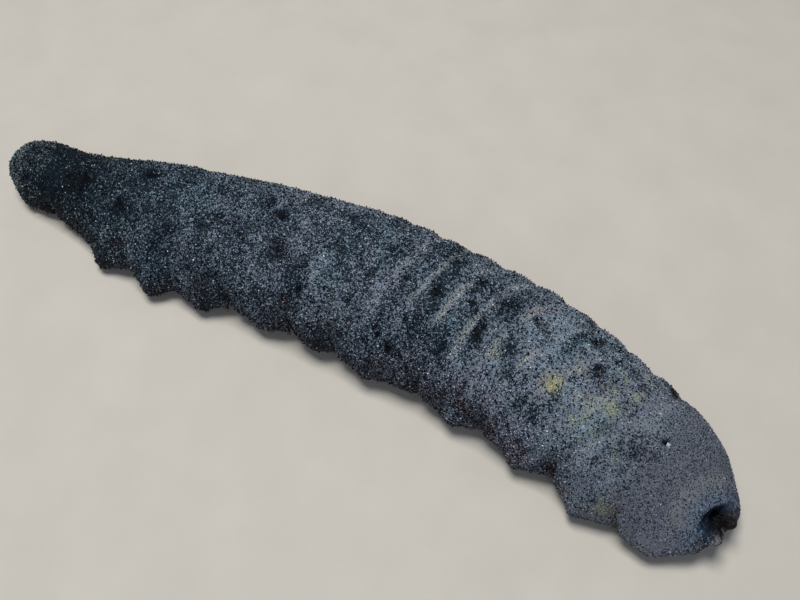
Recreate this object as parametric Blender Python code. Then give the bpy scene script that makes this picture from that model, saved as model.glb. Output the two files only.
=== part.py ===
"""A sea cucumber at life size, lying on its sole, as a still museum model.

Metres, +Z up. The mouth end points to -X and the vent end to +X. The floor is at Z = 0,
and the origin is on the floor under the middle of the animal's box. The body is one long
loaf swept along a bent spine. It is parted by thin plane cuts into five lengths. A disc
with tentacles fills the mouth, and a plug with soft lips round a hole fills the vent.
"""
import math

import bmesh
import bpy
import numpy as np

MM = 0.001

# The spine: its length, and its heading against +X in degrees, which swings along the body.
BODY_LENGTH = 340 * MM
HEADING_MEAN = -7.2
HEADING_TURN = 35.9
HEADING_SWING = 81.5
HEADING_HOOK = -54.4
BOX_MIDDLE = (168.6 * MM, 18.4 * MM)

# The loaf at nine even stations, mouth end first.
HALF_WIDTHS = np.array([12.5, 16.8, 26.8, 27.1, 30.0, 30.9, 29.1, 26.7, 25.5]) * MM
HEIGHTS = np.array([23.8, 29.0, 36.0, 42.0, 45.5, 46.0, 43.5, 39.6, 35.1]) * MM
WIDEST_LEVEL = 0.36
BACK_ROUNDNESS = 2.15
SOLE_SQUARENESS = 3.6
SOLE_LEVEL = 2.2 * MM

# The rounded ends. The vent end leans back, so that the vent looks outwards and up.
HEAD_ROUNDING = 21 * MM
HEAD_UNDERCUT = 15 * MM
VENT_ROUNDING = 33.6 * MM
HEAD_FULLNESS = 2.4
VENT_FULLNESS = 1.71
VENT_LEAN = math.radians(40)
VENT_DRIFT = 2.6 * MM
TURN_LENGTH = 47 * MM

# Lobes of the margin that the outer tube feet pull out: station and reach in mm.
NEAR_LOBES = ((17, 2.2), (64, 7.4), (90, 7.0), (113, 5.8), (142, 3.7), (167, 2.1), (192, 3.8),
              (234, 4.0), (266, 5.3), (296, 6.4), (324, 5.4))
FAR_LOBES = ((22, 1.6), (55, 3.4), (82, 3.8), (107, 3.4), (133, 3.8), (160, 3.2), (186, 3.6),
             (214, 3.8), (243, 4.0), (271, 4.2), (295, 4.6), (318, 3.0))
LOBE_LENGTH = 5.5 * MM
LOBE_ANGLE = math.radians(20)
LOBE_SPREAD = math.radians(24)

# Folds across the back, deepest behind the middle, and the one fold that rings the vent end.
FOLD_STATION = 229 * MM
FOLD_SPACING = 12.5 * MM
FOLD_DEPTH = 1.1 * MM
FOLD_SLANT = -7 * MM
FOLD_WANDER = 1.6 * MM
FOLD_WANDER_LENGTH = 17 * MM
FOLDS_START = 150 * MM
FOLDS_RISE = 60 * MM
FOLDS_END = 312 * MM
FOLDS_FADE = 20 * MM
RING_FOLD_STATION = 328 * MM
RING_FOLD_DEPTH = 1.6 * MM
RING_FOLD_WIDTH = 2.6 * MM

# Low swellings that keep the back from being an even loaf.
SWELL_HEIGHT = 0.7 * MM
SWELL_LENGTH = 13 * MM

# How the body is parted.
CUTS = (44 * MM, 122 * MM, 204 * MM, 284 * MM)
LENGTH_NAMES = ("head_end", "front_body", "middle_body", "rear_body", "vent_end")
GAP = 0.3 * MM
SIDES = 32
RING_STEP_FRONT = 4.8 * MM
RING_STEP_REAR = 3.6 * MM
HEAD_TIP_RINGS = 7
VENT_TIP_RINGS = 10

# Mouth disc and tentacles, in a round recess under the head.
MOUTH_STATION = 25 * MM
MOUTH_RECESS_RADIUS = 9.6 * MM
MOUTH_RECESS_TOP = 11 * MM
MOUTH_CUTTER_FLOOR = -5 * MM
MOUTH_DISC_THICKNESS = 3 * MM
MOUTH_SIDES = 24
MOUTH_OPENING_RADIUS = 2.0 * MM
MOUTH_OPENING_DEPTH = 1.4 * MM
MOUTH_RIM_ROUNDING = 0.8 * MM
TENTACLE_RINGS = ((12, 6.7 * MM, 1.45 * MM), (8, 3.9 * MM, 1.2 * MM))
TENTACLE_SIDES = 6
TENTACLE_ROOT_DEPTH = 1.2 * MM
TENTACLE_TIP_LEVEL = 1.2 * MM

# The vent: a soft plug in an oval seat in the blunt end face. Its hole lies off the middle,
# towards the back, and the lips between the hole and the seat's edge rise most below it.
VENT_FACE_STATION = 334.5 * MM
VENT_SEAT_HALF_WIDTH = 9.6 * MM
VENT_SEAT_HALF_HEIGHT = 6.6 * MM
VENT_SEAT_DEPTH = 8.0 * MM
VENT_RIM = 0.4 * MM
VENT_HOLE_SIDE = 1.0 * MM
VENT_HOLE_RISE = 2.0 * MM
VENT_HOLE_RADIUS = 2.6 * MM
VENT_HOLE_DEPTH = 6.5 * MM
VENT_HOLE_TAPER = 0.8 * MM
VENT_SIDES = 36

# The lips: angle from the far side towards the back, spread in degrees, and rise in mm.
VENT_LIPS = ((-45, 35, 4.8), (-125, 36, 6.2), (190, 30, 1.2), (80, 50, 0.5))
VENT_LIP_STEPS = (0.1, 0.28, 0.48, 0.68, 0.86)

# Tube feet under the sole and warts on the back.
FOOT_SPACING = 11.2 * MM
FOOT_SHAFT_RADIUS = 1.1 * MM
FOOT_DISC_RADIUS = 1.6 * MM
FOOT_DISC_THICKNESS = 0.6 * MM
FOOT_SIDES = 6
FOOT_ROOT_DEPTH = 1.6 * MM
FOOT_EDGE = 5.0 * MM
FOOT_SHIFT_ACROSS = 0.8 * MM
FOOT_SHIFT_ALONG = 1.2 * MM
CUT_CLEARANCE = 2.2 * MM
WART_SPACING = 15.5 * MM
WART_RADIUS = 2.8 * MM
WART_HEIGHT = 1.1 * MM
WART_SIDES = 5
WART_ROOT_DEPTH = 1.0 * MM
WART_SHIFT = 1.6 * MM
WART_CLEARANCE = 3.0 * MM
GROWTHS_START = 9 * MM
GROWTHS_END = 318 * MM
SEED = 11

BACK_GREY = (0.135, 0.150, 0.185)
VENT_SLATE = (0.075, 0.085, 0.105)
TENTACLE_GREY = (0.120, 0.105, 0.090)


def smooth_values(values, s):
    """Values at even stations, joined by a cubic through them with central slopes."""
    count = len(values) - 1
    u = np.clip(s / BODY_LENGTH, 0, 1) * count
    i = np.minimum(u.astype(int), count - 1)
    f = u - i
    slopes = np.gradient(values)
    rest = 1 - f
    start = rest * rest * (1 + 2 * f) * values[i] + f * rest * rest * slopes[i]
    return start + f * f * (3 - 2 * f) * values[i + 1] - f * f * rest * slopes[i + 1]


def smooth_step(x):
    """Rises from 0 to 1 with level ends as x goes from 0 to 1."""
    x = np.clip(x, 0, 1)
    return x * x * (3 - 2 * x)


def heading(s):
    """The spine's angle away from +X, turning towards -Y, in radians."""
    u = s / BODY_LENGTH - 0.5
    return np.radians(HEADING_MEAN + u * (HEADING_TURN + u * (HEADING_SWING + u * HEADING_HOOK)))


def spine_xy(s):
    """The spine seen from above: its heading summed over its length."""
    fine = np.linspace(0, BODY_LENGTH, 681)
    step = fine[1]
    angle = heading(fine)
    runs = np.stack([np.cos(angle), -np.sin(angle)], -1)
    path = np.vstack([[0, 0], np.cumsum((runs[1:] + runs[:-1]) / 2 * step, axis=0)])
    path -= BOX_MIDDLE
    return np.stack([np.interp(s, fine, path[:, 0]), np.interp(s, fine, path[:, 1])], -1)


def end_cap(distance, length, fullness):
    """How full a section is at this distance from a rounded end: 0 at the tip, 1 past length."""
    u = np.clip(distance / length, 0, 1)
    return (1 - (1 - u) ** fullness) ** (1 / fullness)


def lobe_reach(s, lobes):
    """The outward reach of the margin: a narrow peak at each lobe, hollow between them."""
    reach = np.zeros_like(s)
    for station, height in lobes:
        reach += height * MM / (1 + ((s - station * MM) / LOBE_LENGTH) ** 2)
    return reach


def fold_depth(s, theta):
    """How far the folds across the back sink into it. They slant a little and fade to the sides."""
    back = np.clip(np.sin(theta), 0, 1) ** 0.7
    wander = FOLD_WANDER * np.sin(s / FOLD_WANDER_LENGTH + 2.1 * np.cos(theta))
    phase = (s - FOLD_STATION + FOLD_SLANT * np.cos(theta) + wander) / FOLD_SPACING
    wave = np.cos(2 * math.pi * phase)
    strength = smooth_step((s - FOLDS_START) / FOLDS_RISE) * smooth_step((FOLDS_END - s) / FOLDS_FADE)
    folds = FOLD_DEPTH * (0.2 + 0.8 * strength) * back * (0.5 + 0.5 * wave) ** 2
    ring = RING_FOLD_DEPTH * np.exp(-((s - RING_FOLD_STATION) / RING_FOLD_WIDTH) ** 2)
    return folds + ring * np.clip(0.4 + np.sin(theta), 0, 1)


def swell(s, theta):
    """Low swellings and hollows of the back and the flanks, none under the sole."""
    u = s / SWELL_LENGTH
    waves = np.sin(u + 1.3 * theta) * np.sin(0.37 * u + 2.2 * np.cos(theta))
    waves += 0.6 * np.cos(0.71 * u - 3 * theta)
    return SWELL_HEIGHT * waves * smooth_step(np.sin(theta) + 0.4)


def frame_at(s):
    """The section's middle, and its outward, sideways and upward directions at s."""
    angle = heading(s)
    turned = smooth_step((s - BODY_LENGTH + TURN_LENGTH) / TURN_LENGTH)
    lean = VENT_LEAN * turned
    along = np.stack([np.cos(angle), -np.sin(angle), np.zeros_like(angle)], -1)
    side = np.stack([np.sin(angle), np.cos(angle), np.zeros_like(angle)], -1)
    up = np.array([0.0, 0.0, 1.0])
    axis = along * np.cos(lean)[..., None] + up * np.sin(lean)[..., None]
    rise = up * np.cos(lean)[..., None] - along * np.sin(lean)[..., None]
    level = smooth_values(HEIGHTS, s) * WIDEST_LEVEL
    middle = np.concatenate([spine_xy(s), level[..., None]], -1)
    return middle + side * VENT_DRIFT * turned[..., None], axis, side, rise


def section_radius(s, theta):
    """Distance from the section's middle to the skin, towards the angle theta.

    The back is a superellipse, and the sole a squarer one, so it is flat where it rests.
    Lobes add to it low on each side, and folds take from it on the back."""
    height = smooth_values(HEIGHTS, s)
    level = height * WIDEST_LEVEL
    to_vent = end_cap(BODY_LENGTH - s, VENT_ROUNDING, VENT_FULLNESS)
    body = end_cap(s, HEAD_ROUNDING, HEAD_FULLNESS) * to_vent
    below = end_cap(s, HEAD_UNDERCUT, HEAD_FULLNESS) * to_vent
    half = smooth_values(HALF_WIDTHS, s) * body
    c, n = np.abs(np.cos(theta)), np.sin(theta)
    upper = n >= 0
    tall = np.where(upper, (height - level) * body, (level - SOLE_LEVEL) * below)
    power = np.where(upper, BACK_ROUNDNESS, SOLE_SQUARENESS)
    tiny = 1e-7
    radius = ((c / (half + tiny)) ** power + (np.abs(n) / (tall + tiny)) ** power) ** (-1 / power)
    below_side = np.arctan2(-n, c)
    low = np.exp(-((below_side - LOBE_ANGLE) / LOBE_SPREAD) ** 2)
    near = np.cos(theta) < 0
    reach = np.where(near, lobe_reach(s, NEAR_LOBES), lobe_reach(s, FAR_LOBES))
    sole_part = np.clip((c - 0.55) / 0.3, 0, 1)
    return radius + (reach * low * sole_part + swell(s, theta) - fold_depth(s, theta)) * body


def skin_point(s, theta):
    """A point of the skin for arrays of stations and angles of one shape, never under the sole."""
    middle, _, side, rise = frame_at(s)
    radius = section_radius(s, theta)
    height = np.maximum(radius * np.sin(theta), SOLE_LEVEL - middle[..., 2])
    return middle + side * (radius * np.cos(theta))[..., None] + rise * height[..., None]


def skin_normal(s, theta):
    """The outward direction at a point of the skin, from two short steps along it."""
    step = 0.4 * MM
    turn = 0.02
    ahead = skin_point(s + step, theta) - skin_point(s - step, theta)
    round_about = skin_point(s, theta + turn) - skin_point(s, theta - turn)
    normal = np.cross(round_about, ahead)
    return normal / np.linalg.norm(normal)


def ring_angles(sides):
    return np.arange(sides) * 2 * math.pi / sides


def closed_tube(rings):
    """Points and faces of a tube through equal rings, closed by a fan at each end."""
    count, sides = rings.shape[:2]
    points = np.vstack([rings.reshape(-1, 3), rings[0].mean(0), rings[-1].mean(0)])
    faces = []
    for i in range(count - 1):
        for j in range(sides):
            k = (j + 1) % sides
            faces.append((i * sides + j, i * sides + k, (i + 1) * sides + k, (i + 1) * sides + j))
    first, last = len(points) - 2, len(points) - 1
    top = (count - 1) * sides
    for j in range(sides):
        k = (j + 1) % sides
        faces.append((first, k, j))
        faces.append((last, top + j, top + k))
    return points, faces


def add_object(name, points, faces, material=None):
    """A mesh object whose faces point outwards."""
    mesh = bpy.data.meshes.new(name)
    mesh.from_pydata([tuple(p) for p in points], [], faces)
    work = bmesh.new()
    work.from_mesh(mesh)
    bmesh.ops.recalc_face_normals(work, faces=work.faces)
    if work.calc_volume(signed=True) < 0:
        bmesh.ops.reverse_faces(work, faces=work.faces)
    work.to_mesh(mesh)
    work.free()
    mesh.shade_smooth()
    if material:
        mesh.materials.append(material)
    made = bpy.data.objects.new(name, mesh)
    bpy.context.scene.collection.objects.link(made)
    return made


def make_material(name, colour, roughness):
    material = bpy.data.materials.new(name)
    material.use_nodes = True
    shader = material.node_tree.nodes["Principled BSDF"]
    shader.inputs["Base Color"].default_value = (*colour, 1)
    shader.inputs["Roughness"].default_value = roughness
    shader.inputs["Metallic"].default_value = 0
    return material


def apply_modifiers(target):
    """Replaces the object's mesh with the one its modifiers make."""
    bpy.context.view_layer.update()
    graph = bpy.context.evaluated_depsgraph_get()
    made = bpy.data.meshes.new_from_object(target.evaluated_get(graph))
    target.modifiers.clear()
    target.data = made


def keep_largest(target):
    """Keeps only the closed surface with the largest volume."""
    work = bmesh.new()
    work.from_mesh(target.data)
    bmesh.ops.remove_doubles(work, verts=work.verts, dist=1e-6)
    left = set(work.verts)
    shells = []
    while left:
        start = left.pop()
        shell, front = {start}, [start]
        while front:
            for edge in front.pop().link_edges:
                for vert in edge.verts:
                    if vert in left:
                        left.discard(vert)
                        shell.add(vert)
                        front.append(vert)
        shells.append(shell)
    shells.sort(key=len)
    for shell in shells[:-1]:
        bmesh.ops.delete(work, geom=list(shell), context="VERTS")
    work.to_mesh(target.data)
    work.free()


def fuse(target, pieces):
    """Joins the pieces to the target by one union, and removes them."""
    if not pieces:
        return
    group = bpy.data.collections.new(target.name + "_pieces")
    bpy.context.scene.collection.children.link(group)
    for piece in pieces:
        bpy.context.scene.collection.objects.unlink(piece)
        group.objects.link(piece)
    union = target.modifiers.new("union", "BOOLEAN")
    union.operation = "UNION"
    union.operand_type = "COLLECTION"
    union.collection = group
    union.solver = "MANIFOLD"
    apply_modifiers(target)
    for piece in pieces:
        bpy.data.objects.remove(piece)
    bpy.data.collections.remove(group)
    keep_largest(target)


def stations_between(start, end):
    """Ring stations of one length, closer together where the back folds."""
    step = RING_STEP_FRONT if start < FOLDS_START - 40 * MM else RING_STEP_REAR
    count = max(2, round((end - start) / step))
    return np.linspace(start, end, count + 1)


def end_stations(length, count):
    """Distances from a rounded end, bunched towards the tip."""
    angle = np.linspace(0, math.pi / 2, count + 1)[1:]
    return length * (1 - np.cos(angle))


def rings_at(stations):
    s, theta = np.meshgrid(stations, ring_angles(SIDES), indexing="ij")
    return skin_point(s, theta)


def build_head_end(material):
    """The rounded front with a recess below for the mouth."""
    tip = end_stations(HEAD_ROUNDING, HEAD_TIP_RINGS)
    stations = np.concatenate([tip, stations_between(HEAD_ROUNDING, CUTS[0] - GAP / 2)[1:]])
    head = add_object("head_end", *closed_tube(rings_at(stations)), material)
    x, y = spine_xy(np.array(MOUTH_STATION))
    turn = ring_angles(MOUTH_SIDES)
    circle = np.stack([x + MOUTH_RECESS_RADIUS * np.cos(turn), y + MOUTH_RECESS_RADIUS * np.sin(turn)], -1)
    levels = (MOUTH_CUTTER_FLOOR, MOUTH_RECESS_TOP)
    rings = np.array([[(*point, level) for point in circle] for level in levels])
    cutter = add_object("mouth_cutter", *closed_tube(rings))
    cut = head.modifiers.new("mouth_recess", "BOOLEAN")
    cut.operation = "DIFFERENCE"
    cut.object = cutter
    cut.solver = "EXACT"
    apply_modifiers(head)
    bpy.data.objects.remove(cutter)
    return head


def vent_ring_points(along, share, turn, inset=0.0):
    """A ring round the vent: share 0 is the seat's oval and share 1 the rim of the hole.

    along is its distance out of the end face, a number or one value for each angle."""
    station = np.array(VENT_FACE_STATION)
    middle, axis, side, rise = frame_at(station)
    above = section_radius(station, np.array(math.pi / 2))
    below = section_radius(station, np.array(-math.pi / 2))
    middle = middle + side * VENT_HOLE_SIDE * share + rise * ((above - below) / 2 + VENT_HOLE_RISE * share)
    along = np.broadcast_to(along, turn.shape)[:, None]
    hole = VENT_HOLE_RADIUS * share - inset
    wide = (VENT_SEAT_HALF_WIDTH * (1 - share) + hole) * np.cos(turn)[:, None]
    tall = (VENT_SEAT_HALF_HEIGHT * (1 - share) + hole) * np.sin(turn)[:, None]
    return middle + axis * along + side * wide + rise * tall


def lip_rise(share, turn):
    """How far the lips stand out of the rim: rounded between the seat's edge and the hole."""
    rise = np.zeros_like(turn)
    for angle, spread, height in VENT_LIPS:
        away = (turn - math.radians(angle) + math.pi) % (2 * math.pi) - math.pi
        rise += height * MM * np.exp(-(away / math.radians(spread)) ** 2)
    return rise * math.sin(math.pi * share ** 0.8) ** 0.7


def build_vent_end(material):
    """The blunt rear, with an oval seat sunk into its end face for the vent."""
    start = CUTS[3] + GAP / 2
    rounding = BODY_LENGTH - end_stations(VENT_ROUNDING, VENT_TIP_RINGS)[::-1]
    rounding = np.append(rounding[rounding < VENT_FACE_STATION - 1 * MM], VENT_FACE_STATION)
    stations = np.concatenate([stations_between(start, rounding[0])[:-1], rounding])
    turn = ring_angles(SIDES)
    seat_edge = vent_ring_points(VENT_RIM, 0, turn)
    seat_floor = vent_ring_points(-VENT_SEAT_DEPTH, 0, turn)
    rings = np.concatenate([rings_at(stations), seat_edge[None], seat_floor[None]])
    return add_object("vent_end", *closed_tube(rings), material)


def build_vent(material):
    """The vent: a plug with uneven lips round a blind hole."""
    turn = ring_angles(VENT_SIDES)
    rings = [vent_ring_points(GAP - VENT_SEAT_DEPTH, 0, turn, GAP), vent_ring_points(VENT_RIM, 0, turn, GAP)]
    for share in VENT_LIP_STEPS:
        rings.append(vent_ring_points(VENT_RIM + lip_rise(share, turn), share, turn))
    rings.append(vent_ring_points(VENT_RIM, 1, turn))
    rings.append(vent_ring_points(-VENT_HOLE_DEPTH, 1, turn, VENT_HOLE_TAPER))
    return add_object("vent", *closed_tube(np.array(rings)), material)


def build_mouth(material):
    """The mouth disc: a round plate with a small central mouth and two rings of tentacles."""
    x, y = spine_xy(np.array(MOUTH_STATION))
    turn = ring_angles(MOUTH_SIDES)
    top = MOUTH_RECESS_TOP - GAP
    floor = top - MOUTH_DISC_THICKNESS
    outer = MOUTH_RECESS_RADIUS - GAP
    steps = ((top, outer), (floor + MOUTH_RIM_ROUNDING, outer), (floor, outer - MOUTH_RIM_ROUNDING),
             (floor, MOUTH_OPENING_RADIUS), (floor + MOUTH_OPENING_DEPTH, 0.6 * MOUTH_OPENING_RADIUS))
    rings = np.array([[(x + r * math.cos(a), y + r * math.sin(a), z) for a in turn] for z, r in steps])
    disc = add_object("mouth", *closed_tube(rings), material)
    fuse(disc, [tentacle(x, y, floor, *place) for place in tentacle_places()])
    return disc


def tentacle_places():
    """Angle, distance from the mouth and bush radius of each tentacle."""
    for count, distance, bush in TENTACLE_RINGS:
        for k in range(count):
            yield 2 * math.pi * (k + 0.5) / count, distance, bush


def tentacle(x, y, floor, angle, distance, bush):
    """A short stalk under the disc that ends in a flat-bottomed bush."""
    x += distance * math.cos(angle)
    y += distance * math.sin(angle)
    turn = ring_angles(TENTACLE_SIDES)
    middle = (floor + TENTACLE_TIP_LEVEL) / 2
    steps = ((floor + TENTACLE_ROOT_DEPTH, 0.55), (floor - 1.0 * MM, 0.5), (middle, 1.0),
             (TENTACLE_TIP_LEVEL + 0.7 * MM, 0.95), (TENTACLE_TIP_LEVEL, 0.55))
    rings = np.array([[(x + r * bush * math.cos(a), y + r * bush * math.sin(a), z) for a in turn]
                      for z, r in steps])
    return add_object("tentacle", *closed_tube(rings))


def tube_foot(x, y, level):
    """A stubby foot that ends in a flat disc on the floor. Its root is sunk into the sole."""
    turn = ring_angles(FOOT_SIDES)
    steps = ((level + FOOT_ROOT_DEPTH, FOOT_SHAFT_RADIUS), (FOOT_DISC_THICKNESS, FOOT_SHAFT_RADIUS),
             (0.0, FOOT_DISC_RADIUS))
    rings = np.array([[(x + r * math.cos(a), y + r * math.sin(a), z) for a in turn] for z, r in steps])
    return add_object("foot", *closed_tube(rings))


def wart(s, theta, size):
    """A low cone on the back, square to the skin."""
    base = skin_point(np.array(s), np.array(theta))
    out = skin_normal(np.array(s), np.array(theta))
    side = np.cross(out, (0.3, 0.9, 0.2))
    side /= np.linalg.norm(side)
    other = np.cross(out, side)
    turn = ring_angles(WART_SIDES)
    steps = ((-WART_ROOT_DEPTH, 1.0), (0.45 * WART_HEIGHT * size, 0.72), (WART_HEIGHT * size, 0.22))
    rings = np.array([[base + out * h + size * WART_RADIUS * r * (side * math.cos(a) + other * math.sin(a))
                       for a in turn] for h, r in steps])
    return add_object("wart", *closed_tube(rings))


def sole_height(s, offset):
    """How high the underside is at a distance across from the spine."""
    theta = np.linspace(math.pi, 2 * math.pi, 73)
    radius = section_radius(np.full_like(theta, s), theta)
    middle = frame_at(np.array(s))[0]
    return float(np.interp(offset, radius * np.cos(theta), middle[2] + radius * np.sin(theta)))


def foot_places(start, end, random):
    """Rows of feet across the sole, clear of the cuts and the mouth: x, y and the sole's level."""
    clear = CUT_CLEARANCE
    rows = max(1, round((end - start - 2 * clear) / FOOT_SPACING))
    mouth = spine_xy(np.array(MOUTH_STATION))
    for i in range(rows):
        s = start + clear + (i + 0.5) * (end - start - 2 * clear) / rows
        room = float(section_radius(np.array(s), np.array(math.pi))) - FOOT_EDGE
        across = max(2, round(2 * room / FOOT_SPACING) + i % 2)
        middle, _, side, _ = frame_at(np.array(s))
        along = np.array([side[1], -side[0]])
        for j in range(across):
            offset = room * (2 * j / (across - 1) - 1) + random.uniform(-1, 1) * FOOT_SHIFT_ACROSS
            shift = random.uniform(-1, 1) * FOOT_SHIFT_ALONG
            point = middle[:2] + side[:2] * offset + along * shift
            if np.linalg.norm(point - mouth) > MOUTH_RECESS_RADIUS + CUT_CLEARANCE:
                yield *point, sole_height(s + shift, offset)


def wart_places(start, end, random):
    """Warts in staggered rows over the back, clear of the cuts."""
    clear = WART_CLEARANCE
    rows = max(1, round((end - start - 2 * clear) / (WART_SPACING * 0.8)))
    for i in range(rows):
        s = start + clear + (i + 0.5) * (end - start - 2 * clear) / rows
        reach = float(section_radius(np.array(s), np.array(math.pi / 2)))
        across = max(3, round(2.4 * reach / WART_SPACING))
        for j in range(across):
            share = (j + 0.25 + 0.5 * (i % 2)) / across
            theta = math.radians(12 + 156 * share) + random.uniform(-0.07, 0.07)
            yield s + random.uniform(-1, 1) * WART_SHIFT, theta, random.uniform(0.75, 1.15)


def add_growths(body, start, end, random):
    """Fuses the feet and warts of one length to it."""
    feet = [tube_foot(*place) for place in foot_places(start, end, random)]
    warts = [wart(*place) for place in wart_places(start, end, random)]
    fuse(body, feet + warts)


def clear_scene():
    for old in list(bpy.data.objects):
        bpy.data.objects.remove(old)


def main():
    clear_scene()
    back = make_material("back_skin", BACK_GREY, 0.85)
    soft = make_material("vent_skin", VENT_SLATE, 0.6)
    tentacles = make_material("tentacle_skin", TENTACLE_GREY, 0.7)
    random = np.random.default_rng(SEED)
    lengths = [build_head_end(back)]
    for i in range(1, 4):
        stations = stations_between(CUTS[i - 1] + GAP / 2, CUTS[i] - GAP / 2)
        lengths.append(add_object(LENGTH_NAMES[i], *closed_tube(rings_at(stations)), back))
    lengths.append(build_vent_end(back))
    edges = (GROWTHS_START, *CUTS, GROWTHS_END)
    for body, start, end in zip(lengths, edges[:-1], edges[1:]):
        add_growths(body, start, end, random)
    build_mouth(tentacles)
    build_vent(soft)


main()
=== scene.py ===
# %% [markdown]
# # A sea cucumber, life size
#
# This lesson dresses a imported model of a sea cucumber. The animal is a soft, leathery loaf about a third
# of a metre long. It lies on a flat sole covered with tube feet, hides its mouth under the narrow end, and
# carries its vent at the blunt end. Living ones eat sand all day, so the back is dusted with fine grains.
#
# The model is one skin, worked out as a surface of two parameters, and then coats of small things that
# grow or lie on it: tube feet, papillae, tentacles and sediment grains.

# %% Load the frame
import math

import bpy
import numpy as np
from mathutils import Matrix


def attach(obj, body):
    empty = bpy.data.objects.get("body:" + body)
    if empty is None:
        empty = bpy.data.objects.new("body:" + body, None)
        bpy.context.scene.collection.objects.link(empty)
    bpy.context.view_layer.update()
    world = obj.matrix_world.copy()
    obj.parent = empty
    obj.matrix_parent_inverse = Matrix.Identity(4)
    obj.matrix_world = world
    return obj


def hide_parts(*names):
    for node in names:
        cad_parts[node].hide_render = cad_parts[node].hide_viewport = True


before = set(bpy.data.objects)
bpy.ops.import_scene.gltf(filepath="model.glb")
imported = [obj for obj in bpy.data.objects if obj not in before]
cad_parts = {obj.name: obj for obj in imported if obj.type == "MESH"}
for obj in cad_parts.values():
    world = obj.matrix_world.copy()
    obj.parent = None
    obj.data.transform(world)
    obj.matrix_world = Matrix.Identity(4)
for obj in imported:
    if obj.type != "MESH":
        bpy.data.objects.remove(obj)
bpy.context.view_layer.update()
MM = 0.001
print("frame nodes:", ", ".join(sorted(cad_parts)))

# %% [markdown]
# ## Small helpers
#
# Colours are easier to judge as the hex values of a picture, but shaders count light, so one function
# turns them linear. One more adds a shader node with its settings and links, and gives back the output
# that the next node needs. Each finish below is a function that adds its nodes and returns what the
# shader's inputs get, which keeps it to the few lines that matter.

# %% Colour and node helpers
# Settings that many nodes share: a mix of two colours, their product, and a range with smooth ends.
# A mix node takes its colours at the sockets 6 and 7 and gives the mixed one at output 2.
MIX = {"data_type": "RGBA"}
PRODUCT = {"data_type": "RGBA", "blend_type": "MULTIPLY"}
EASED = {"interpolation_type": "SMOOTHSTEP"}


def linear(hex_colour):
    """An sRGB hex colour as linear RGBA: each channel through the sRGB curve, alpha 1."""
    values = [int(hex_colour[i:i + 2], 16) / 255 for i in (1, 3, 5)]
    return (*[v / 12.92 if v <= 0.04045 else ((v + 0.055) / 1.055) ** 2.4 for v in values], 1)


def set_inputs(tree, node, inputs):
    """Gives a node its inputs, by name or number: a value, a hex colour, or a node's output to link."""
    for name, value in inputs.items():
        if isinstance(value, bpy.types.NodeSocket):
            tree.links.new(value, node.inputs[name])
        else:
            node.inputs[name].default_value = linear(value) if isinstance(value, str) else value


def add_node(tree, kind, inputs, output=0, **settings):
    """Adds a node with its inputs and settings, and returns one of its outputs."""
    node = tree.nodes.new("ShaderNode" + kind)
    for name, value in settings.items():
        setattr(node, name, value)
    set_inputs(tree, node, inputs)
    return node.outputs[output]


def new_material(finish):
    """A material named after its finish, a function that returns what the shader's inputs get."""
    material = bpy.data.materials.new(finish.__name__)
    material.use_nodes = True
    tree = material.node_tree
    set_inputs(tree, tree.nodes["Principled BSDF"], finish(tree))
    return material


print("helpers ready")

# %% [markdown]
# ## Camera, light and floor
#
# The camera looks down at the animal steeply, as a diver sees it. Its place and its lens follow from
# fitting the animal's outline, so that the pose fills the same part of the picture. A museum would light
# such a model from above with one large soft lamp, and a weaker one opposite to open the shadows.

# %% Camera
VIEW_HEADING = math.radians(32.495)
VIEW_STEEPNESS = math.radians(58)
VIEW_DISTANCE = 0.3746
VIEW_TARGET = np.array([0.0145, 0.0157, 0.0])
LENS_MM = 40.0

away = np.array([-math.sin(VIEW_HEADING), math.cos(VIEW_HEADING), 0.0])
gaze = away * math.cos(VIEW_STEEPNESS) - np.array([0, 0, 1.0]) * math.sin(VIEW_STEEPNESS)
camera_data = bpy.data.cameras.new("camera")
camera_data.lens = LENS_MM
camera_data.sensor_width = 36
camera_data.clip_start = 0.01
camera = bpy.data.objects.new("camera", camera_data)
camera.location = VIEW_TARGET - gaze * VIEW_DISTANCE
camera.rotation_euler = (math.pi / 2 - VIEW_STEEPNESS, 0, VIEW_HEADING)
bpy.context.scene.collection.objects.link(camera)
bpy.context.scene.camera = camera
bpy.context.scene.view_settings.view_transform = "Standard"
print("camera at", [round(x, 3) for x in camera.location])


# %% Lamps and sky
def add_lamp(name, place, size, watts, tint):
    """A square area lamp that points at the middle of the floor."""
    data = bpy.data.lights.new(name, "AREA")
    data.size = size
    data.energy = watts
    data.color = linear(tint)[:3]
    lamp = bpy.data.objects.new(name, data)
    lamp.location = place
    lamp.rotation_euler = (-lamp.location).to_track_quat("-Z", "Y").to_euler()
    bpy.context.scene.collection.objects.link(lamp)


add_lamp("key_lamp", (-0.16, 0.0, 1.15), 0.45, 16.0, "#fffaf4")
add_lamp("fill_lamp", (0.5, -0.7, 0.8), 0.9, 2.4, "#e6efff")
world = bpy.data.worlds.new("sky")
world.use_nodes = True
sky_tree = world.node_tree
set_inputs(sky_tree, sky_tree.nodes["Background"], {"Color": "#dfe6ee", "Strength": 0.22})
bpy.context.scene.world = world

# %% Floor
FLOOR_SIZE = 6.0
FLOOR_CLOUD_SIZE = 25 * MM
floor_mesh = bpy.data.meshes.new("floor")
half = FLOOR_SIZE / 2
floor_mesh.from_pydata([(-half, -half, 0), (half, -half, 0), (half, half, 0), (-half, half, 0)],
                       [], [(0, 1, 2, 3)])
floor = bpy.data.objects.new("floor", floor_mesh)
bpy.context.scene.collection.objects.link(floor)


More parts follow.
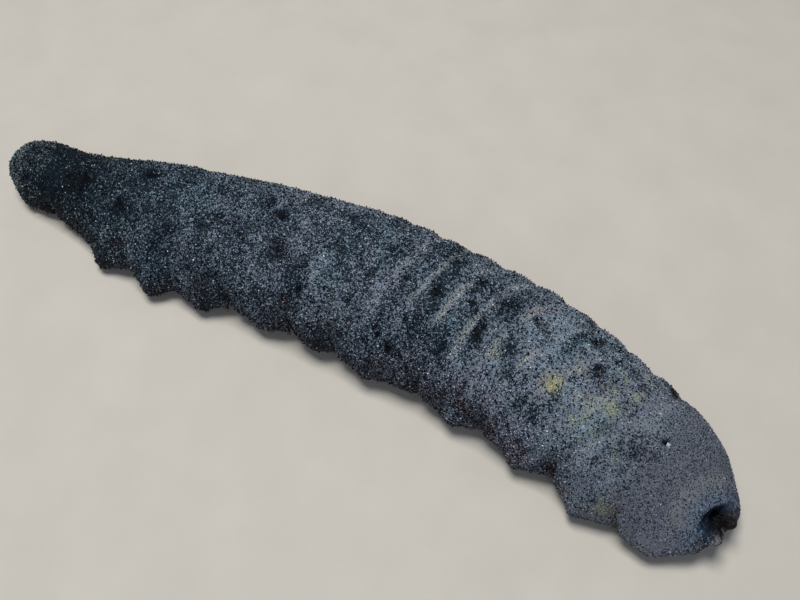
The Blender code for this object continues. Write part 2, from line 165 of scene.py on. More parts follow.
def matt_pale_floor_paint(tree):
    """Matt paint, a little cloudy as rolled paint is."""
    place = add_node(tree, "TexCoord", {}, "Object")
    cloud = add_node(tree, "TexNoise", {"Vector": place, "Scale": 1 / FLOOR_CLOUD_SIZE, "Detail": 3.0})
    colour = add_node(tree, "Mix", {0: cloud, 6: "#a5a39d", 7: "#b1afa9"}, 2, **MIX)
    return {"Base Color": colour, "Roughness": 0.8}


floor_mesh.materials.append(new_material(matt_pale_floor_paint))
print("lamps, sky and floor ready")

# %% [markdown]
# ## The body's shape
#
# The solids are a loaf swept along a bent spine, and the skin repeats their sizes. A point is given by its
# station, the distance from the mouth end along the spine, and by its angle round the section: 0 on the
# far side, 90 degrees on the back, 180 on the near side and 270 under the sole. Because every formula
# takes whole arrays, the same functions place the skin, the feet and every grain.

# %% Driving sizes of the body
BODY_LENGTH = 340 * MM
HEADING_MEAN = -7.2
HEADING_TURN = 35.9
HEADING_SWING = 81.5
HEADING_HOOK = -54.4
BOX_MIDDLE = (168.6 * MM, 18.4 * MM)
HALF_WIDTHS = np.array([12.5, 16.8, 26.8, 27.1, 30.0, 30.9, 29.1, 26.7, 25.5]) * MM
HEIGHTS = np.array([23.8, 29.0, 36.0, 42.0, 45.5, 46.0, 43.5, 39.6, 35.1]) * MM
WIDEST_LEVEL = 0.36
BACK_ROUNDNESS = 2.15
SOLE_SQUARENESS = 3.6
SOLE_LEVEL = 2.2 * MM
HEAD_ROUNDING = 21 * MM
HEAD_UNDERCUT = 15 * MM
HEAD_FULLNESS = 2.4
VENT_ROUNDING = 33.6 * MM
VENT_FULLNESS = 1.71
VENT_LEAN = math.radians(40)
VENT_DRIFT = 2.6 * MM
TURN_LENGTH = 47 * MM
NEAR_LOBES = ((17, 2.2), (64, 7.4), (90, 7.0), (113, 5.8), (142, 3.7), (167, 2.1), (192, 3.8),
              (234, 4.0), (266, 5.3), (296, 6.4), (324, 5.4))
FAR_LOBES = ((22, 1.6), (55, 3.4), (82, 3.8), (107, 3.4), (133, 3.8), (160, 3.2), (186, 3.6),
             (214, 3.8), (243, 4.0), (271, 4.2), (295, 4.6), (318, 3.0))
LOBE_LENGTH = 5.5 * MM
LOBE_ANGLE = math.radians(20)
LOBE_SPREAD = math.radians(24)
FOLD_STATION = 229 * MM
FOLD_SPACING = 12.5 * MM
FOLD_DEPTH = 1.1 * MM
FOLD_SLANT = -7 * MM
FOLD_WANDER = 1.6 * MM
FOLD_WANDER_LENGTH = 17 * MM
FOLDS_START = 150 * MM
FOLDS_END = 312 * MM
RING_FOLD_STATION = 328 * MM
RING_FOLD_DEPTH = 1.6 * MM
SWELL_HEIGHT = 0.7 * MM
SWELL_LENGTH = 13 * MM
COAT_DEPTH = 0.5 * MM
print("body", BODY_LENGTH / MM, "mm along its spine; the skin lies", COAT_DEPTH / MM, "mm inside the solids")


# %% The spine
def smooth_values(values, s):
    """Values at even stations, joined by a cubic through them with central slopes."""
    count = len(values) - 1
    u = np.clip(s / BODY_LENGTH, 0, 1) * count
    i = np.minimum(u.astype(int), count - 1)
    f = u - i
    slopes = np.gradient(values)
    rest = 1 - f
    start = rest * rest * (1 + 2 * f) * values[i] + f * rest * rest * slopes[i]
    return start + f * f * (3 - 2 * f) * values[i + 1] - f * f * rest * slopes[i + 1]


def smooth_step(x, start=0.0, length=1.0):
    """Rises from 0 to 1 over a length, with level ends: 3u^2 - 2u^3. A negative length makes it fall."""
    u = np.clip((x - start) / length, 0, 1)
    return u * u * (3 - 2 * u)


def bell(x, middle, width):
    """A bell curve, 1 at its middle: exp(-((x - middle) / width)^2)."""
    return np.exp(-((x - middle) / width) ** 2)


def heading(s):
    """The spine's angle from +X towards -Y: a cubic of the station measured from the middle."""
    u = s / BODY_LENGTH - 0.5
    return np.radians(HEADING_MEAN + u * (HEADING_TURN + u * (HEADING_SWING + u * HEADING_HOOK)))


def spine_xy(s):
    """The spine from above: the unit vectors of its heading, summed over its length."""
    fine = np.linspace(0, BODY_LENGTH, 681)
    angle = heading(fine)
    runs = np.stack([np.cos(angle), -np.sin(angle)], -1)
    path = np.vstack([[0, 0], np.cumsum((runs[1:] + runs[:-1]) / 2 * fine[1], axis=0)]) - BOX_MIDDLE
    return np.stack([np.interp(s, fine, path[:, 0]), np.interp(s, fine, path[:, 1])], -1)


def frame_at(s):
    """The section's middle, and its axis, sideways and upward directions. Near the vent they lean back."""
    angle = heading(s)
    turned = smooth_step(s - BODY_LENGTH, -TURN_LENGTH, TURN_LENGTH)
    lean = (VENT_LEAN * turned)[..., None]
    along = np.stack([np.cos(angle), -np.sin(angle), np.zeros_like(angle)], -1)
    side = np.stack([np.sin(angle), np.cos(angle), np.zeros_like(angle)], -1)
    up = np.array([0.0, 0.0, 1.0])
    level = smooth_values(HEIGHTS, s) * WIDEST_LEVEL
    middle = np.concatenate([spine_xy(s), level[..., None]], -1)
    axis = along * np.cos(lean) + up * np.sin(lean)
    rise = up * np.cos(lean) - along * np.sin(lean)
    return middle + side * VENT_DRIFT * turned[..., None], axis, side, rise


spine_ends = spine_xy(np.array([0, BODY_LENGTH]))
straight = float(np.hypot(*np.ptp(spine_ends, axis=0)))
print("straight distance between the ends:", round(straight / MM, 1), "mm")


# %% The section
def end_cap(distance, length, fullness):
    """How full a section is near a rounded end: a superellipse of the distance from the tip."""
    u = np.clip(distance / length, 0, 1)
    return (1 - (1 - u) ** fullness) ** (1 / fullness)


def lobe_reach(s, lobes):
    """The margin's outward reach: height / (1 + distance^2), summed over the lobes."""
    away_from = [(s - station * MM) / LOBE_LENGTH for station, _ in lobes]
    return sum(height * MM / (1 + u * u) for u, (_, height) in zip(away_from, lobes))


def fold_wave(s, theta):
    """1 in the crease of each fold and -1 between two: a cosine along the body, slanted and wavering."""
    wander = FOLD_WANDER * np.sin(s / FOLD_WANDER_LENGTH + 2.1 * np.cos(theta))
    return np.cos(2 * math.pi * (s - FOLD_STATION + FOLD_SLANT * np.cos(theta) + wander) / FOLD_SPACING)


def fold_strength(s):
    """Folds fade in behind the front third and out before the vent end."""
    return smooth_step(s, FOLDS_START, 60 * MM) * smooth_step(s, FOLDS_END, -20 * MM)


def fold_depth(s, theta):
    """Depth of the folds: the squared upper half of the wave on the back, and one ring fold."""
    back = np.clip(np.sin(theta), 0, 1) ** 0.7
    folds = FOLD_DEPTH * (0.2 + 0.8 * fold_strength(s)) * back * (0.5 + 0.5 * fold_wave(s, theta)) ** 2
    ring = RING_FOLD_DEPTH * bell(s, RING_FOLD_STATION, 2.6 * MM)
    return folds + ring * np.clip(0.4 + np.sin(theta), 0, 1)


def swell(s, theta):
    """Low swellings of the back and flanks: products and sums of sines, none under the sole."""
    u = s / SWELL_LENGTH
    waves = np.sin(u + 1.3 * theta) * np.sin(0.37 * u + 2.2 * np.cos(theta))
    waves = waves + 0.6 * np.cos(0.71 * u - 3 * theta)
    return SWELL_HEIGHT * waves * smooth_step(np.sin(theta), -0.4)


def section_radius(s, theta):
    """Distance from the section's middle to the skin: a superellipse, plus lobes, less folds."""
    height = smooth_values(HEIGHTS, s)
    level = height * WIDEST_LEVEL
    to_vent = end_cap(BODY_LENGTH - s, VENT_ROUNDING, VENT_FULLNESS)
    body = end_cap(s, HEAD_ROUNDING, HEAD_FULLNESS) * to_vent
    below = end_cap(s, HEAD_UNDERCUT, HEAD_FULLNESS) * to_vent
    half_width = smooth_values(HALF_WIDTHS, s) * body
    c, n = np.abs(np.cos(theta)), np.sin(theta)
    tall = np.where(n >= 0, (height - level) * body, (level - SOLE_LEVEL) * below)
    power = np.where(n >= 0, BACK_ROUNDNESS, SOLE_SQUARENESS)
    tiny = 1e-7
    radius = ((c / (half_width + tiny)) ** power + (np.abs(n) / (tall + tiny)) ** power) ** (-1 / power)
    low = bell(np.arctan2(-n, c), LOBE_ANGLE, LOBE_SPREAD)
    reach = np.where(np.cos(theta) < 0, lobe_reach(s, NEAR_LOBES), lobe_reach(s, FAR_LOBES))
    reach = reach * low * np.clip((c - 0.55) / 0.3, 0, 1)
    return radius + (reach + swell(s, theta) - fold_depth(s, theta)) * body


def place_on_section(s, theta, radius):
    """The point at this radius and angle of the section at s, never lower than the sole."""
    middle, _, side, rise = frame_at(s)
    height = np.maximum(radius * np.sin(theta), SOLE_LEVEL + COAT_DEPTH - middle[..., 2])
    return middle + side * (radius * np.cos(theta))[..., None] + rise * height[..., None]


section = section_radius(np.full(4, BODY_LENGTH / 2), np.radians([0, 90, 180, 270]))
print("reach of the middle section in mm:", (section / MM).round(1))

# %% [markdown]
# ## Repeatable noise
#
# Skin is never even, but a lesson has to give the same animal on every run. A hash of whole numbers gives
# every corner of a lattice its own value, and smooth blending between the corners gives value noise. The
# body is wrapped on a cylinder for this, so that the pattern closes round it. Bumps use the distance to
# the nearest of many scattered points, one in each cell of the lattice.


# %% Noise functions
def hashed(cell, seed):
    """A value from 0 to 1 for each lattice cell: its numbers times primes, mixed by shifts."""
    x = cell.astype(np.int64)
    mixed = (x[..., 0] * 73856093) ^ (x[..., 1] * 19349663) ^ (x[..., 2] * 83492791) ^ (seed * 40503)
    mixed &= 0xFFFFFFFF
    for _ in range(2):
        mixed = (((mixed >> 16) ^ mixed) * 0x45D9F3B) & 0xFFFFFFFF
    return ((mixed >> 16) ^ mixed) / 0xFFFFFFFF


CORNERS = np.array([(i, j, k) for i in (0, 1) for j in (0, 1) for k in (0, 1)])
NEIGHBOURS = np.array([(i, j, k) for i in (-1, 0, 1) for j in (-1, 0, 1) for k in (-1, 0, 1)])


def value_noise(points, size, seed):
    """Smooth noise from -1 to 1: the eight corner values of each cell, blended by smooth steps."""
    scaled = points / size
    cell = np.floor(scaled)
    f = smooth_step(scaled - cell)
    total = np.zeros(points.shape[:-1])
    for corner in CORNERS:
        weight = np.prod(np.where(corner, f, 1 - f), axis=-1)
        total += weight * hashed(cell + corner, seed)
    return 2 * total - 1


def layered_noise(points, size, seed):
    """Three layers of noise, each half the size and half the height of the one before."""
    return sum(value_noise(points, size / 2 ** i, seed + i) / 2 ** i for i in range(3)) / 1.75


def scattered_distance(points, size, seed):
    """Distance to the nearest scattered point, in cells, and that point's own random value."""
    scaled = points / size
    cell = np.floor(scaled)
    nearest = np.full(points.shape[:-1], 9.0)
    owner = np.zeros(points.shape[:-1])
    for step in NEIGHBOURS:
        there = cell + step
        jitter = np.stack([hashed(there, seed + k) for k in range(3)], -1)
        gap = np.linalg.norm(there + 0.15 + 0.7 * jitter - scaled, axis=-1)
        closer = gap < nearest
        nearest = np.where(closer, gap, nearest)
        owner = np.where(closer, hashed(there, seed + 7), owner)
    return nearest, owner


WRAP_RADIUS = 25 * MM


def wrapped(s, theta):
    """Body coordinates for noise: the station, and the angle as a point on a round cylinder."""
    return np.stack([s, WRAP_RADIUS * np.cos(theta), WRAP_RADIUS * np.sin(theta)], -1)


print("noise at one point:", round(float(value_noise(np.array([0.1, 0.02, 0.01]), 4 * MM, 1)), 3))

# %% [markdown]
# ## Markings
#
# The ground colour is a slate that is almost black, a little teal in front. Pale sediment lies over it,
# thin on the neck, thicker towards the rear and thickest in the creases of the folds, where it reads as
# pale lines. Ragged dark blotches stay bare, where papillae are pulled in, and a slit near the vent is
# dark too. The near flank is browner in its pleats, with reddish hollows between its lobes. Pleats and
# hollows also carry less sediment, which is painted shade in them. Low beside the vent, less sediment is
# painted shade under the overhanging end. A few patches and many specks of sediment are yellow-green with
# algae. All of these are smooth functions of station and angle, so that skin, papillae and grains can
# share them.

# %% Places of the marks: station in mm, angle in degrees, radius in mm and strength
BLOTCHES = (
    (77, 75, 3.8, 0.9), (94, 110, 1.4, 0.7), (96, 131, 1.7, 0.6), (91, 151, 2.5, 0.45),
    (47, 107, 4.0, 1.0), (71, 121, 3.0, 0.8), (110, 74, 2.5, 0.4), (119, 74, 1.9, 0.6),
    (115, 103, 1.7, 0.6), (117, 134, 2.1, 0.5), (132, 78, 2.0, 0.7), (139, 86, 2.0, 1.2),
    (145, 117, 3.6, 0.6), (148, 58, 3.4, 0.6), (158, 139, 1.4, 1.2), (166, 122, 1.0, 0.8),
    (168, 100, 3.0, 0.5), (180, 132, 3.0, 0.45), (182, 110, 1.0, 0.7), (186, 82, 2.6, 0.4),
    (192, 80, 2.6, 0.45), (193, 142, 1.1, 1.0), (195, 148, 1.4, 1.2), (197, 100, 1.2, 1.3),
    (197, 107, 1.0, 0.7), (201, 155, 1.5, 1.2), (203, 128, 1.0, 1.0), (206, 156, 1.2, 0.9),
    (208, 68, 3.0, 0.6), (210, 102, 1.5, 1.2), (220, 85, 1.7, 0.7), (221, 74, 2.1, 0.8),
    (224, 96, 1.7, 0.8), (230, 112, 1.8, 1.2), (231, 106, 1.7, 1.0), (235, 80, 3.4, 0.6),
    (243, 108, 3.4, 0.5), (249, 80, 3.4, 0.45), (266, 62, 3.0, 0.9), (266, 144, 1.0, 0.8),
    (273, 82, 3.6, 0.5), (278, 90, 3.4, 0.4), (287, 92, 3.2, 0.35), (289, 114, 3.0, 0.35),
    (295, 36, 3.2, 1.0), (296, 120, 3.4, 0.4), (303, 128, 3.0, 0.35), (304, 112, 4.0, 0.55),
    (309, 104, 2.4, 0.3))
YELLOW_PATCHES = (
    (239, 119, 2.0, 0.6), (263, 114, 3.0, 1.0), (264, 107, 1.8, 0.7), (267, 90, 1.8, 0.5),
    (278, 110, 2.0, 0.5), (285, 100, 2.2, 0.6), (288, 78, 1.8, 0.5), (305, 172, 4.0, 0.5))
RED_HOLLOWS = (
    (73, 158, 3.0, 0.4), (115, 170, 4.0, 0.4), (152, 154, 4.0, 0.4), (181, 153, 3.8, 0.4),
    (198, 145, 2.2, 0.4), (202, 172, 3.6, 0.6), (222, 173, 4.2, 0.6), (228, 176, 3.4, 0.4),
    (233, 162, 3.0, 0.8), (238, 171, 4.4, 1.0), (248, 160, 2.6, 0.5), (252, 174, 4.4, 1.0),
    (267, 175, 4.2, 0.7), (280, 174, 4.2, 0.6))

# The slit and the large white grain in it, by station and angle.
CRACK = (310, 92)
CRACK_GRAIN = (311.5, 91)
CRACK_GRAIN_SIZE = 1.15 * MM

# How gently a pleat of the flank falls in front and how steeply it rises behind.
PLEAT_FRONT = 4.2 * MM
PLEAT_REAR = 1.8 * MM

# How much sediment covers the back, at stations in mm.
COVER_STATIONS = (0, 30, 75, 170, 205, 235, 262, 280, 305, 340)
COVER_SHARES = (0.36, 0.03, 0.20, 0.28, 0.27, 0.42, 0.57, 0.58, 0.48, 0.33)

# Sizes of the noise, from clouds of sediment to the frayed edge of a mark, and how far it frays.
CLOUD_SIZE = 19 * MM
HUE_SIZE = 13 * MM
PATCH_SIZE = 6.5 * MM
SPECK_SIZE = 2.4 * MM
EDGE_SIZE = 1.8 * MM
FRAY_SIZE = 3.5 * MM
FRAY_REACH = 1.6 * MM
FLECK_SPACING = 9 * MM

# Where the marks change along the body.
NECK_STATION = 45 * MM
LINES_START = 175 * MM
LINES_END = 275 * MM
SMOOTH_START = 258 * MM
ALGAE_STATION = 279 * MM
VENT_SHADE_START = 327 * MM
BLUE_START = 330 * MM


# %% Functions of the marks
def girth_at(s):
    """Length of skin for one radian round the section, about the half width."""
    return smooth_values(HALF_WIDTHS, s) * 0.9


def spots(s, theta, places, ragged):
    """Marks with ragged edges: strength * exp(-(distance * (1 + ragged) / radius)^2), the largest."""
    result = np.zeros(ragged.shape)
    for station, angle, radius, strength in places:
        along = s - station * MM
        across = (theta - math.radians(angle)) * girth_at(s)
        gap = np.hypot(along, across) * (1 + ragged) / (radius * MM)
        result = np.maximum(result, strength * np.exp(-gap ** 2))
    return result


def crease_lines(s, theta, breaks):
    """Pale lines of sediment in the creases: a high power of the fold wave, broken up by noise."""
    line = (0.5 + 0.5 * fold_wave(s, theta)) ** 12
    window = smooth_step(np.sin(theta), 0.6, 0.3) * smooth_step(s, LINES_START, 45 * MM)
    window = window * smooth_step(s, LINES_END, -18 * MM)
    return line * window * np.clip(0.45 + 1.1 * breaks, 0, 1)


def frayed(s, theta):
    """Moves each place along and round the body by noise, which frays whatever is drawn there."""
    place = wrapped(s, theta)
    shift = [FRAY_REACH * layered_noise(place, FRAY_SIZE, seed) for seed in (51, 56)]
    return s + shift[0], theta + shift[1] / WRAP_RADIUS


def crack_bell(s, theta):
    """A short slit: one bell curve of the distance along it, slanted, and a narrower one across it."""
    along = (s - CRACK[0] * MM) / (2.5 * MM)
    across = (theta - math.radians(CRACK[1])) * girth_at(s) / (1.5 * MM)
    return np.exp(-(along + 0.5 * across) ** 2 - across ** 2)


def pleats(s, theta):
    """Grooves of the flanks half way between lobes, from 0 to 1: gentle in front and steep behind."""
    depth = np.zeros(np.broadcast(s, theta).shape)
    for lobes, here in ((NEAR_LOBES, np.cos(theta) < 0), (FAR_LOBES, np.cos(theta) >= 0)):
        stations = np.array([station for station, _ in lobes]) * MM
        for i, (start, end) in enumerate(zip(stations[:-1], stations[1:])):
            middle = start + (end - start) * (0.46 + 0.12 * math.sin(3.7 * i + len(lobes)))
            past = s - middle + 3.0 * MM * np.sin(theta)
            groove = bell(past, 0, np.where(past < 0, PLEAT_FRONT, PLEAT_REAR))
            depth += (0.75 + 0.25 * math.sin(5.1 * i)) * groove * here
    return depth * bell(np.arcsin(np.sin(theta)), -0.10, 0.44)


# %% All the marks together
def markings(s, theta):
    """Sediment cover, darkness, yellow, red, brown, blue, teal and smoothness, each from 0 to 1."""
    place = wrapped(s, theta)
    frayed_place = frayed(s, theta)
    ragged = layered_noise(place, EDGE_SIZE, 54)
    broad = layered_noise(place, CLOUD_SIZE, 21)
    middle = layered_noise(place * np.array([1.0, 0.7, 0.7]), PATCH_SIZE, 31)
    fine = layered_noise(place, SPECK_SIZE, 36)
    hue = layered_noise(place, HUE_SIZE, 91)

    # Regions of the body: its height round the section, the head, the neck, the rear and the folds.
    up = np.sin(theta)
    down = smooth_step(up, 0.45, -0.9)
    head = 1 - smooth_step(s, -10 * MM, 100 * MM)
    neck = bell(s, NECK_STATION, 28 * MM)
    front = 1 - smooth_step(s, 0, 190 * MM)
    smooth = smooth_step(s + 9 * MM * middle, SMOOTH_START, 66 * MM)
    crests = (0.5 - 0.5 * fold_wave(s, theta)) ** 2 * fold_strength(s) * np.clip(up, 0, 1)
    lines = crease_lines(s, theta, value_noise(place, 8 * MM, 41))
    ring_band = bell(s - RING_FOLD_STATION, 1.0 * MM, 2.2 * MM) * smooth_step(up, 0, 0.5)
    ring_band = ring_band * (0.7 + 0.6 * fine)
    pleated = np.clip(pleats(s, theta), 0, 1) * (0.3 + 0.7 * smooth_step(s, FOLDS_START, 60 * MM))

    # Bare dark places: blotches, small flecks and the slit.
    blotch = np.clip(spots(*frayed_place, BLOTCHES, 0.5 * ragged), 0, 1)
    gap, size = scattered_distance(place, FLECK_SPACING, 81)
    flecks = bell(gap + 0.12 * ragged, 0, 0.10 + 0.12 * size) * smooth_step(size, 0.35, 0.3)
    flecks = flecks * (0.25 + 0.45 * smooth_step(s, 300 * MM, -60 * MM))
    crack = crack_bell(s, theta)

    # Sediment, thinner on the flank. Low on the body beside the vent it thins further, which is painted shade
    # under the overhanging end.
    general = np.interp(s / MM, COVER_STATIONS, COVER_SHARES)
    uneven = (0.35 * broad + 0.75 * middle + 0.60 * fine) * (1 - 0.5 * smooth)
    cover = general * (1 + uneven) + 0.6 * lines - 0.10 * crests + 0.15 * ring_band
    cover = cover * (1 - blotch) * (1 - flecks) * (1 - crack)
    cover = cover * (1 - 0.42 * down * (1 - 0.9 * smooth))
    # Painted shade: less pale sediment low beside the vent, under the overhanging end.
    vent_underside_shade = smooth_step(s, VENT_SHADE_START, 8 * MM) * smooth_step(up, 0.5, -0.8)
    cover = np.clip(cover * (1 - 0.8 * vent_underside_shade), 0, 1)

    # Algae in patches and specks, which hold more sediment, and a hint of it on the head and in lines.
    yellow = np.clip(spots(*frayed_place, YELLOW_PATCHES, 0.8 * ragged), 0, 1)
    algae = smooth_step(ragged + 0.3 * middle, 0.10, 0.35) * bell(s, ALGAE_STATION, 20 * MM)
    yellow = np.maximum(yellow, 0.32 * algae * smooth_step(up, 0.55, 0.3))
    cover = np.clip(cover + 0.35 * yellow + 0.22 * down * smooth, 0, 1)
    yellow = np.maximum(yellow, 0.3 * head + 0.12 * ring_band + 0.35 * lines)

    # Hollows and pleats of the flank get less sediment, so they are darker. This darkening is painted shade
    # in the grooves; their reddish and brown tints are the skin's own colour.
    red = np.clip(spots(*frayed_place, RED_HOLLOWS, 0.6 * ragged), 0, 1)
    cover = cover * (1 - 0.7 * red) * (1 - 0.5 * pleated)
    brown = np.maximum(smooth_step(up, 0.15, -0.7), 0.7 * pleated) * (1 - 0.7 * smooth)
    dark = np.clip(blotch + 0.8 * flecks + 0.25 * head + 0.45 * neck - 0.2 * middle + crack, 0, 1)
    blue = smooth_step(s, BLUE_START, 6 * MM) * smooth_step(up, -0.5, 0.9)
    teal = np.clip(0.5 + 0.6 * hue + 0.3 * crests + 0.7 * front - 0.4 * down - 0.3 * lines, 0, 1)
    return {"cover": cover, "dark": dark, "yellow": yellow, "red": red, "brown": brown, "blue": blue,
            "teal": teal, "smooth": smooth}


sample = markings(np.array([0.05, 0.17, 0.229, 0.30]), np.full(4, math.pi / 2))
print("sediment cover at four stations of the back:", sample["cover"].round(2))

# %% [markdown]
# ## One skin
#
# A living body wall is leathery. It creases across the body when the animal shortens, small blunt warts
# stand on it, and the flank is drawn in between the lobes that the outer tube feet hold down. A sculptor
# would model this. Here it is a height added to the section's radius: wrinkles are noise that is short
# along the body and long round it, and warts are round bumps at scattered points. Pleats are grooves half
# way between two lobes, gentle in front and steep behind, as if the flank had slid forwards over its feet.

# %% Fine relief of the skin
WRINKLE_HEIGHT = 0.42 * MM
WRINKLE_SIZE = 3.2 * MM
LUMP_HEIGHT = 0.40 * MM
LUMP_SIZE = 5.5 * MM
WART_HEIGHT = 0.5 * MM
WART_SPACING = 6.5 * MM
CREASE_DEPTH = 0.6 * MM
RING_CREASE_DEPTH = 0.9 * MM
BLOTCH_DEPTH = 0.7 * MM
PIT_DEPTH = 1.3 * MM
PLEAT_DEPTH = 3.0 * MM
SMOOTH_REAR_START = 285 * MM


def relief(s, theta):
    """Height over the smooth skin: wrinkles, lumps and warts, less pleats, creases, hollows and a pit."""
    place = wrapped(s, theta)
    up = np.sin(theta)
    wrinkles = layered_noise(place * np.array([1.0, 0.33, 0.33]), WRINKLE_SIZE, 61)
    lumps = layered_noise(place, LUMP_SIZE, 66)
    away_from_wart, size = scattered_distance(place, WART_SPACING, 71)
    warts = bell(away_from_wart, 0, 0.18 + 0.10 * size) * (0.3 + 0.7 * size)
    height = WRINKLE_HEIGHT * wrinkles + LUMP_HEIGHT * lumps + WART_HEIGHT * warts
    height = height * smooth_step(up, -0.6, 0.5) * (1 - 0.65 * smooth_step(s, SMOOTH_REAR_START, 25 * MM))
    crease = (0.5 + 0.5 * fold_wave(s, theta)) ** 8 * fold_strength(s) * np.clip(up, 0, 1)
    ring_crease = bell(s - RING_FOLD_STATION, -1.5 * MM, 0.9 * MM) * smooth_step(up, -0.4)
    hollows = np.clip(spots(*frayed(s, theta), BLOTCHES, np.zeros(s.shape)), 0, 1)
    height = height - CREASE_DEPTH * crease - RING_CREASE_DEPTH * ring_crease - BLOTCH_DEPTH * hollows
    height = height - PIT_DEPTH * crack_bell(s, theta)
    return np.minimum(height, COAT_DEPTH) - PLEAT_DEPTH * pleats(s, theta)


relief_sample = relief(np.linspace(0.05, 0.3, 400), np.full(400, math.pi / 2))
print("relief along the back in mm:", round(float(relief_sample.min()) / MM, 2), "to",
      round(float(relief_sample.max()) / MM, 2))

# %% [markdown]
# The vent closes the rear. The skin turns in over the leaning end face to a hole that lies off its middle.
# Between the face's edge and the hole stand soft lips: one large bulge on the far side, one flap below, and
# low ones elsewhere, with slots between them and fine puckers all round. Each ring about the vent's axis
# has a share, 0 at the outer oval and 1 at the hole's rim. Its height is a sum of bell curves of the angle
# times a rounded profile of the share. A smooth curve through a few such rings, worked out for all angles
# at once, gives the lips without any seam.

# %% The vent's rings
VENT_FACE_STATION = 334.5 * MM
VENT_SEAT_HALF_WIDTH = 9.6 * MM
VENT_SEAT_HALF_HEIGHT = 6.6 * MM
VENT_HOLE_SIDE = 1.0 * MM
VENT_HOLE_RISE = 2.0 * MM
VENT_HOLE_RADIUS = 2.6 * MM
VENT_HOLE_DEPTH = 6.5 * MM
VENT_HOLE_PROFILE = ((0.0, 0.0), (0.25, 0.1), (0.6, 0.35), (1.0, 0.75), (1.0, 0.95))
LIP_INSET = 0.35 * MM
LIP_SHARES = (0.05, 0.16, 0.30, 0.46, 0.62, 0.78, 0.90)
PUCKER_COUNT = 13
PUCKER_DEPTH = 0.22 * MM

# Bulges of the lips and slots between them: angle and spread in degrees, height or depth in mm.
VENT_LIPS = ((-45, 35, 4.8), (-125, 36, 6.2), (190, 30, 1.2), (80, 50, 0.5))
VENT_SLOTS = ((-72, 9, 1.6), (-112, 7, 1.3), (15, 12, 0.6), (-150, 10, 0.8))


def turns(sides):
    """The angles of the points of a ring, evenly spaced from 0."""
    return np.arange(sides) * 2 * math.pi / sides


def bells(turn, shapes):
    """A sum of bell curves of the angle: each has its middle and its spread in degrees, and its height."""
    total = np.zeros_like(turn)
    for angle, spread, height in shapes:
        away_by = (turn - math.radians(angle) + math.pi) % (2 * math.pi) - math.pi
        total += height * bell(away_by, 0, math.radians(spread))
    return total


def vent_ring(along, share, turn, inset):
    """A ring about the vent's axis, at a distance out of the end face, with its share as fourth value."""
    station = np.array(VENT_FACE_STATION)
    middle, axis, side, rise = frame_at(station)
    half_turn = np.array(math.pi / 2)
    above, below = section_radius(station, half_turn), section_radius(station, -half_turn)
    middle = middle + side * VENT_HOLE_SIDE * share + rise * ((above - below) / 2 + VENT_HOLE_RISE * share)
    hole = VENT_HOLE_RADIUS * share - inset
    wide = (VENT_SEAT_HALF_WIDTH * (1 - share) + hole) * np.cos(turn)
    tall = (VENT_SEAT_HALF_HEIGHT * (1 - share) + hole) * np.sin(turn)
    along = np.broadcast_to(along, turn.shape)
    ring = middle + axis * along[:, None] + side * wide[:, None] + rise * tall[:, None]
    return np.concatenate([ring, np.full((len(turn), 1), share)], axis=1)


def curve_through(rings, steps):
    """A Catmull-Rom curve through the rings, all angles at once, without the first and last ring."""
    t = (np.arange(steps) / steps)[:, None, None]
    made = []
    for a, b, c, d in zip(rings[:-3], rings[1:-2], rings[2:-1], rings[3:]):
        made.append(b + 0.5 * t * (c - a + t * (2 * a - 5 * b + 4 * c - d + t * (3 * b - a - 3 * c + d))))
    return np.concatenate(made)


# %% The skin's surface
SKIN_ANGLES = 208
SKIN_STATIONS = 400
TIP_RINGS = 24
VENT_STEPS = 4
MOUTH_STATION = 25 * MM
MOUTH_RECESS_RADIUS = 9.6 * MM
MOUTH_RECESS_TOP = 11 * MM
COLLAR_WIDTH = 1.8 * MM

skin_turn = turns(SKIN_ANGLES)
tip_stations = HEAD_ROUNDING * 0.5 * (1 - np.cos(np.linspace(0, math.pi / 2, TIP_RINGS + 1)[1:]))
even_stations = np.linspace(tip_stations[-1], VENT_FACE_STATION - 0.4 * MM, SKIN_STATIONS + 1)[1:]
skin_stations = np.concatenate([tip_stations, even_stations])
station_grid, turn_grid = np.meshgrid(skin_stations, skin_turn, indexing="ij")


def body_surface(s, theta):
    """The body's skin: the section's radius less the coat's depth, plus the relief where it is full."""
    radius = section_radius(s, theta) - COAT_DEPTH
    full = smooth_step(radius, 0, 6 * MM)
    radius = np.maximum(radius + relief(s, theta) * full, 0.05 * MM)
    pulled_in = s + COAT_DEPTH * (1 - np.clip(s / HEAD_ROUNDING, 0, 1))
    return place_on_section(pulled_in, theta, radius)


def sink_mouth(points):
    """Lifts the underside of the head into a round recess with a soft lip."""
    centre = spine_xy(np.array(MOUTH_STATION))
    gap = np.hypot(points[..., 0] - centre[0], points[..., 1] - centre[1])
    inside = smooth_step(gap, MOUTH_RECESS_RADIUS - 0.4 * MM, -COLLAR_WIDTH)
    underneath = smooth_step(points[..., 2], 7 * MM, -2 * MM)
    lifted = points.copy()
    lifted[..., 2] += (MOUTH_RECESS_TOP - 0.9 * MM - points[..., 2]) * inside * underneath
    return lifted


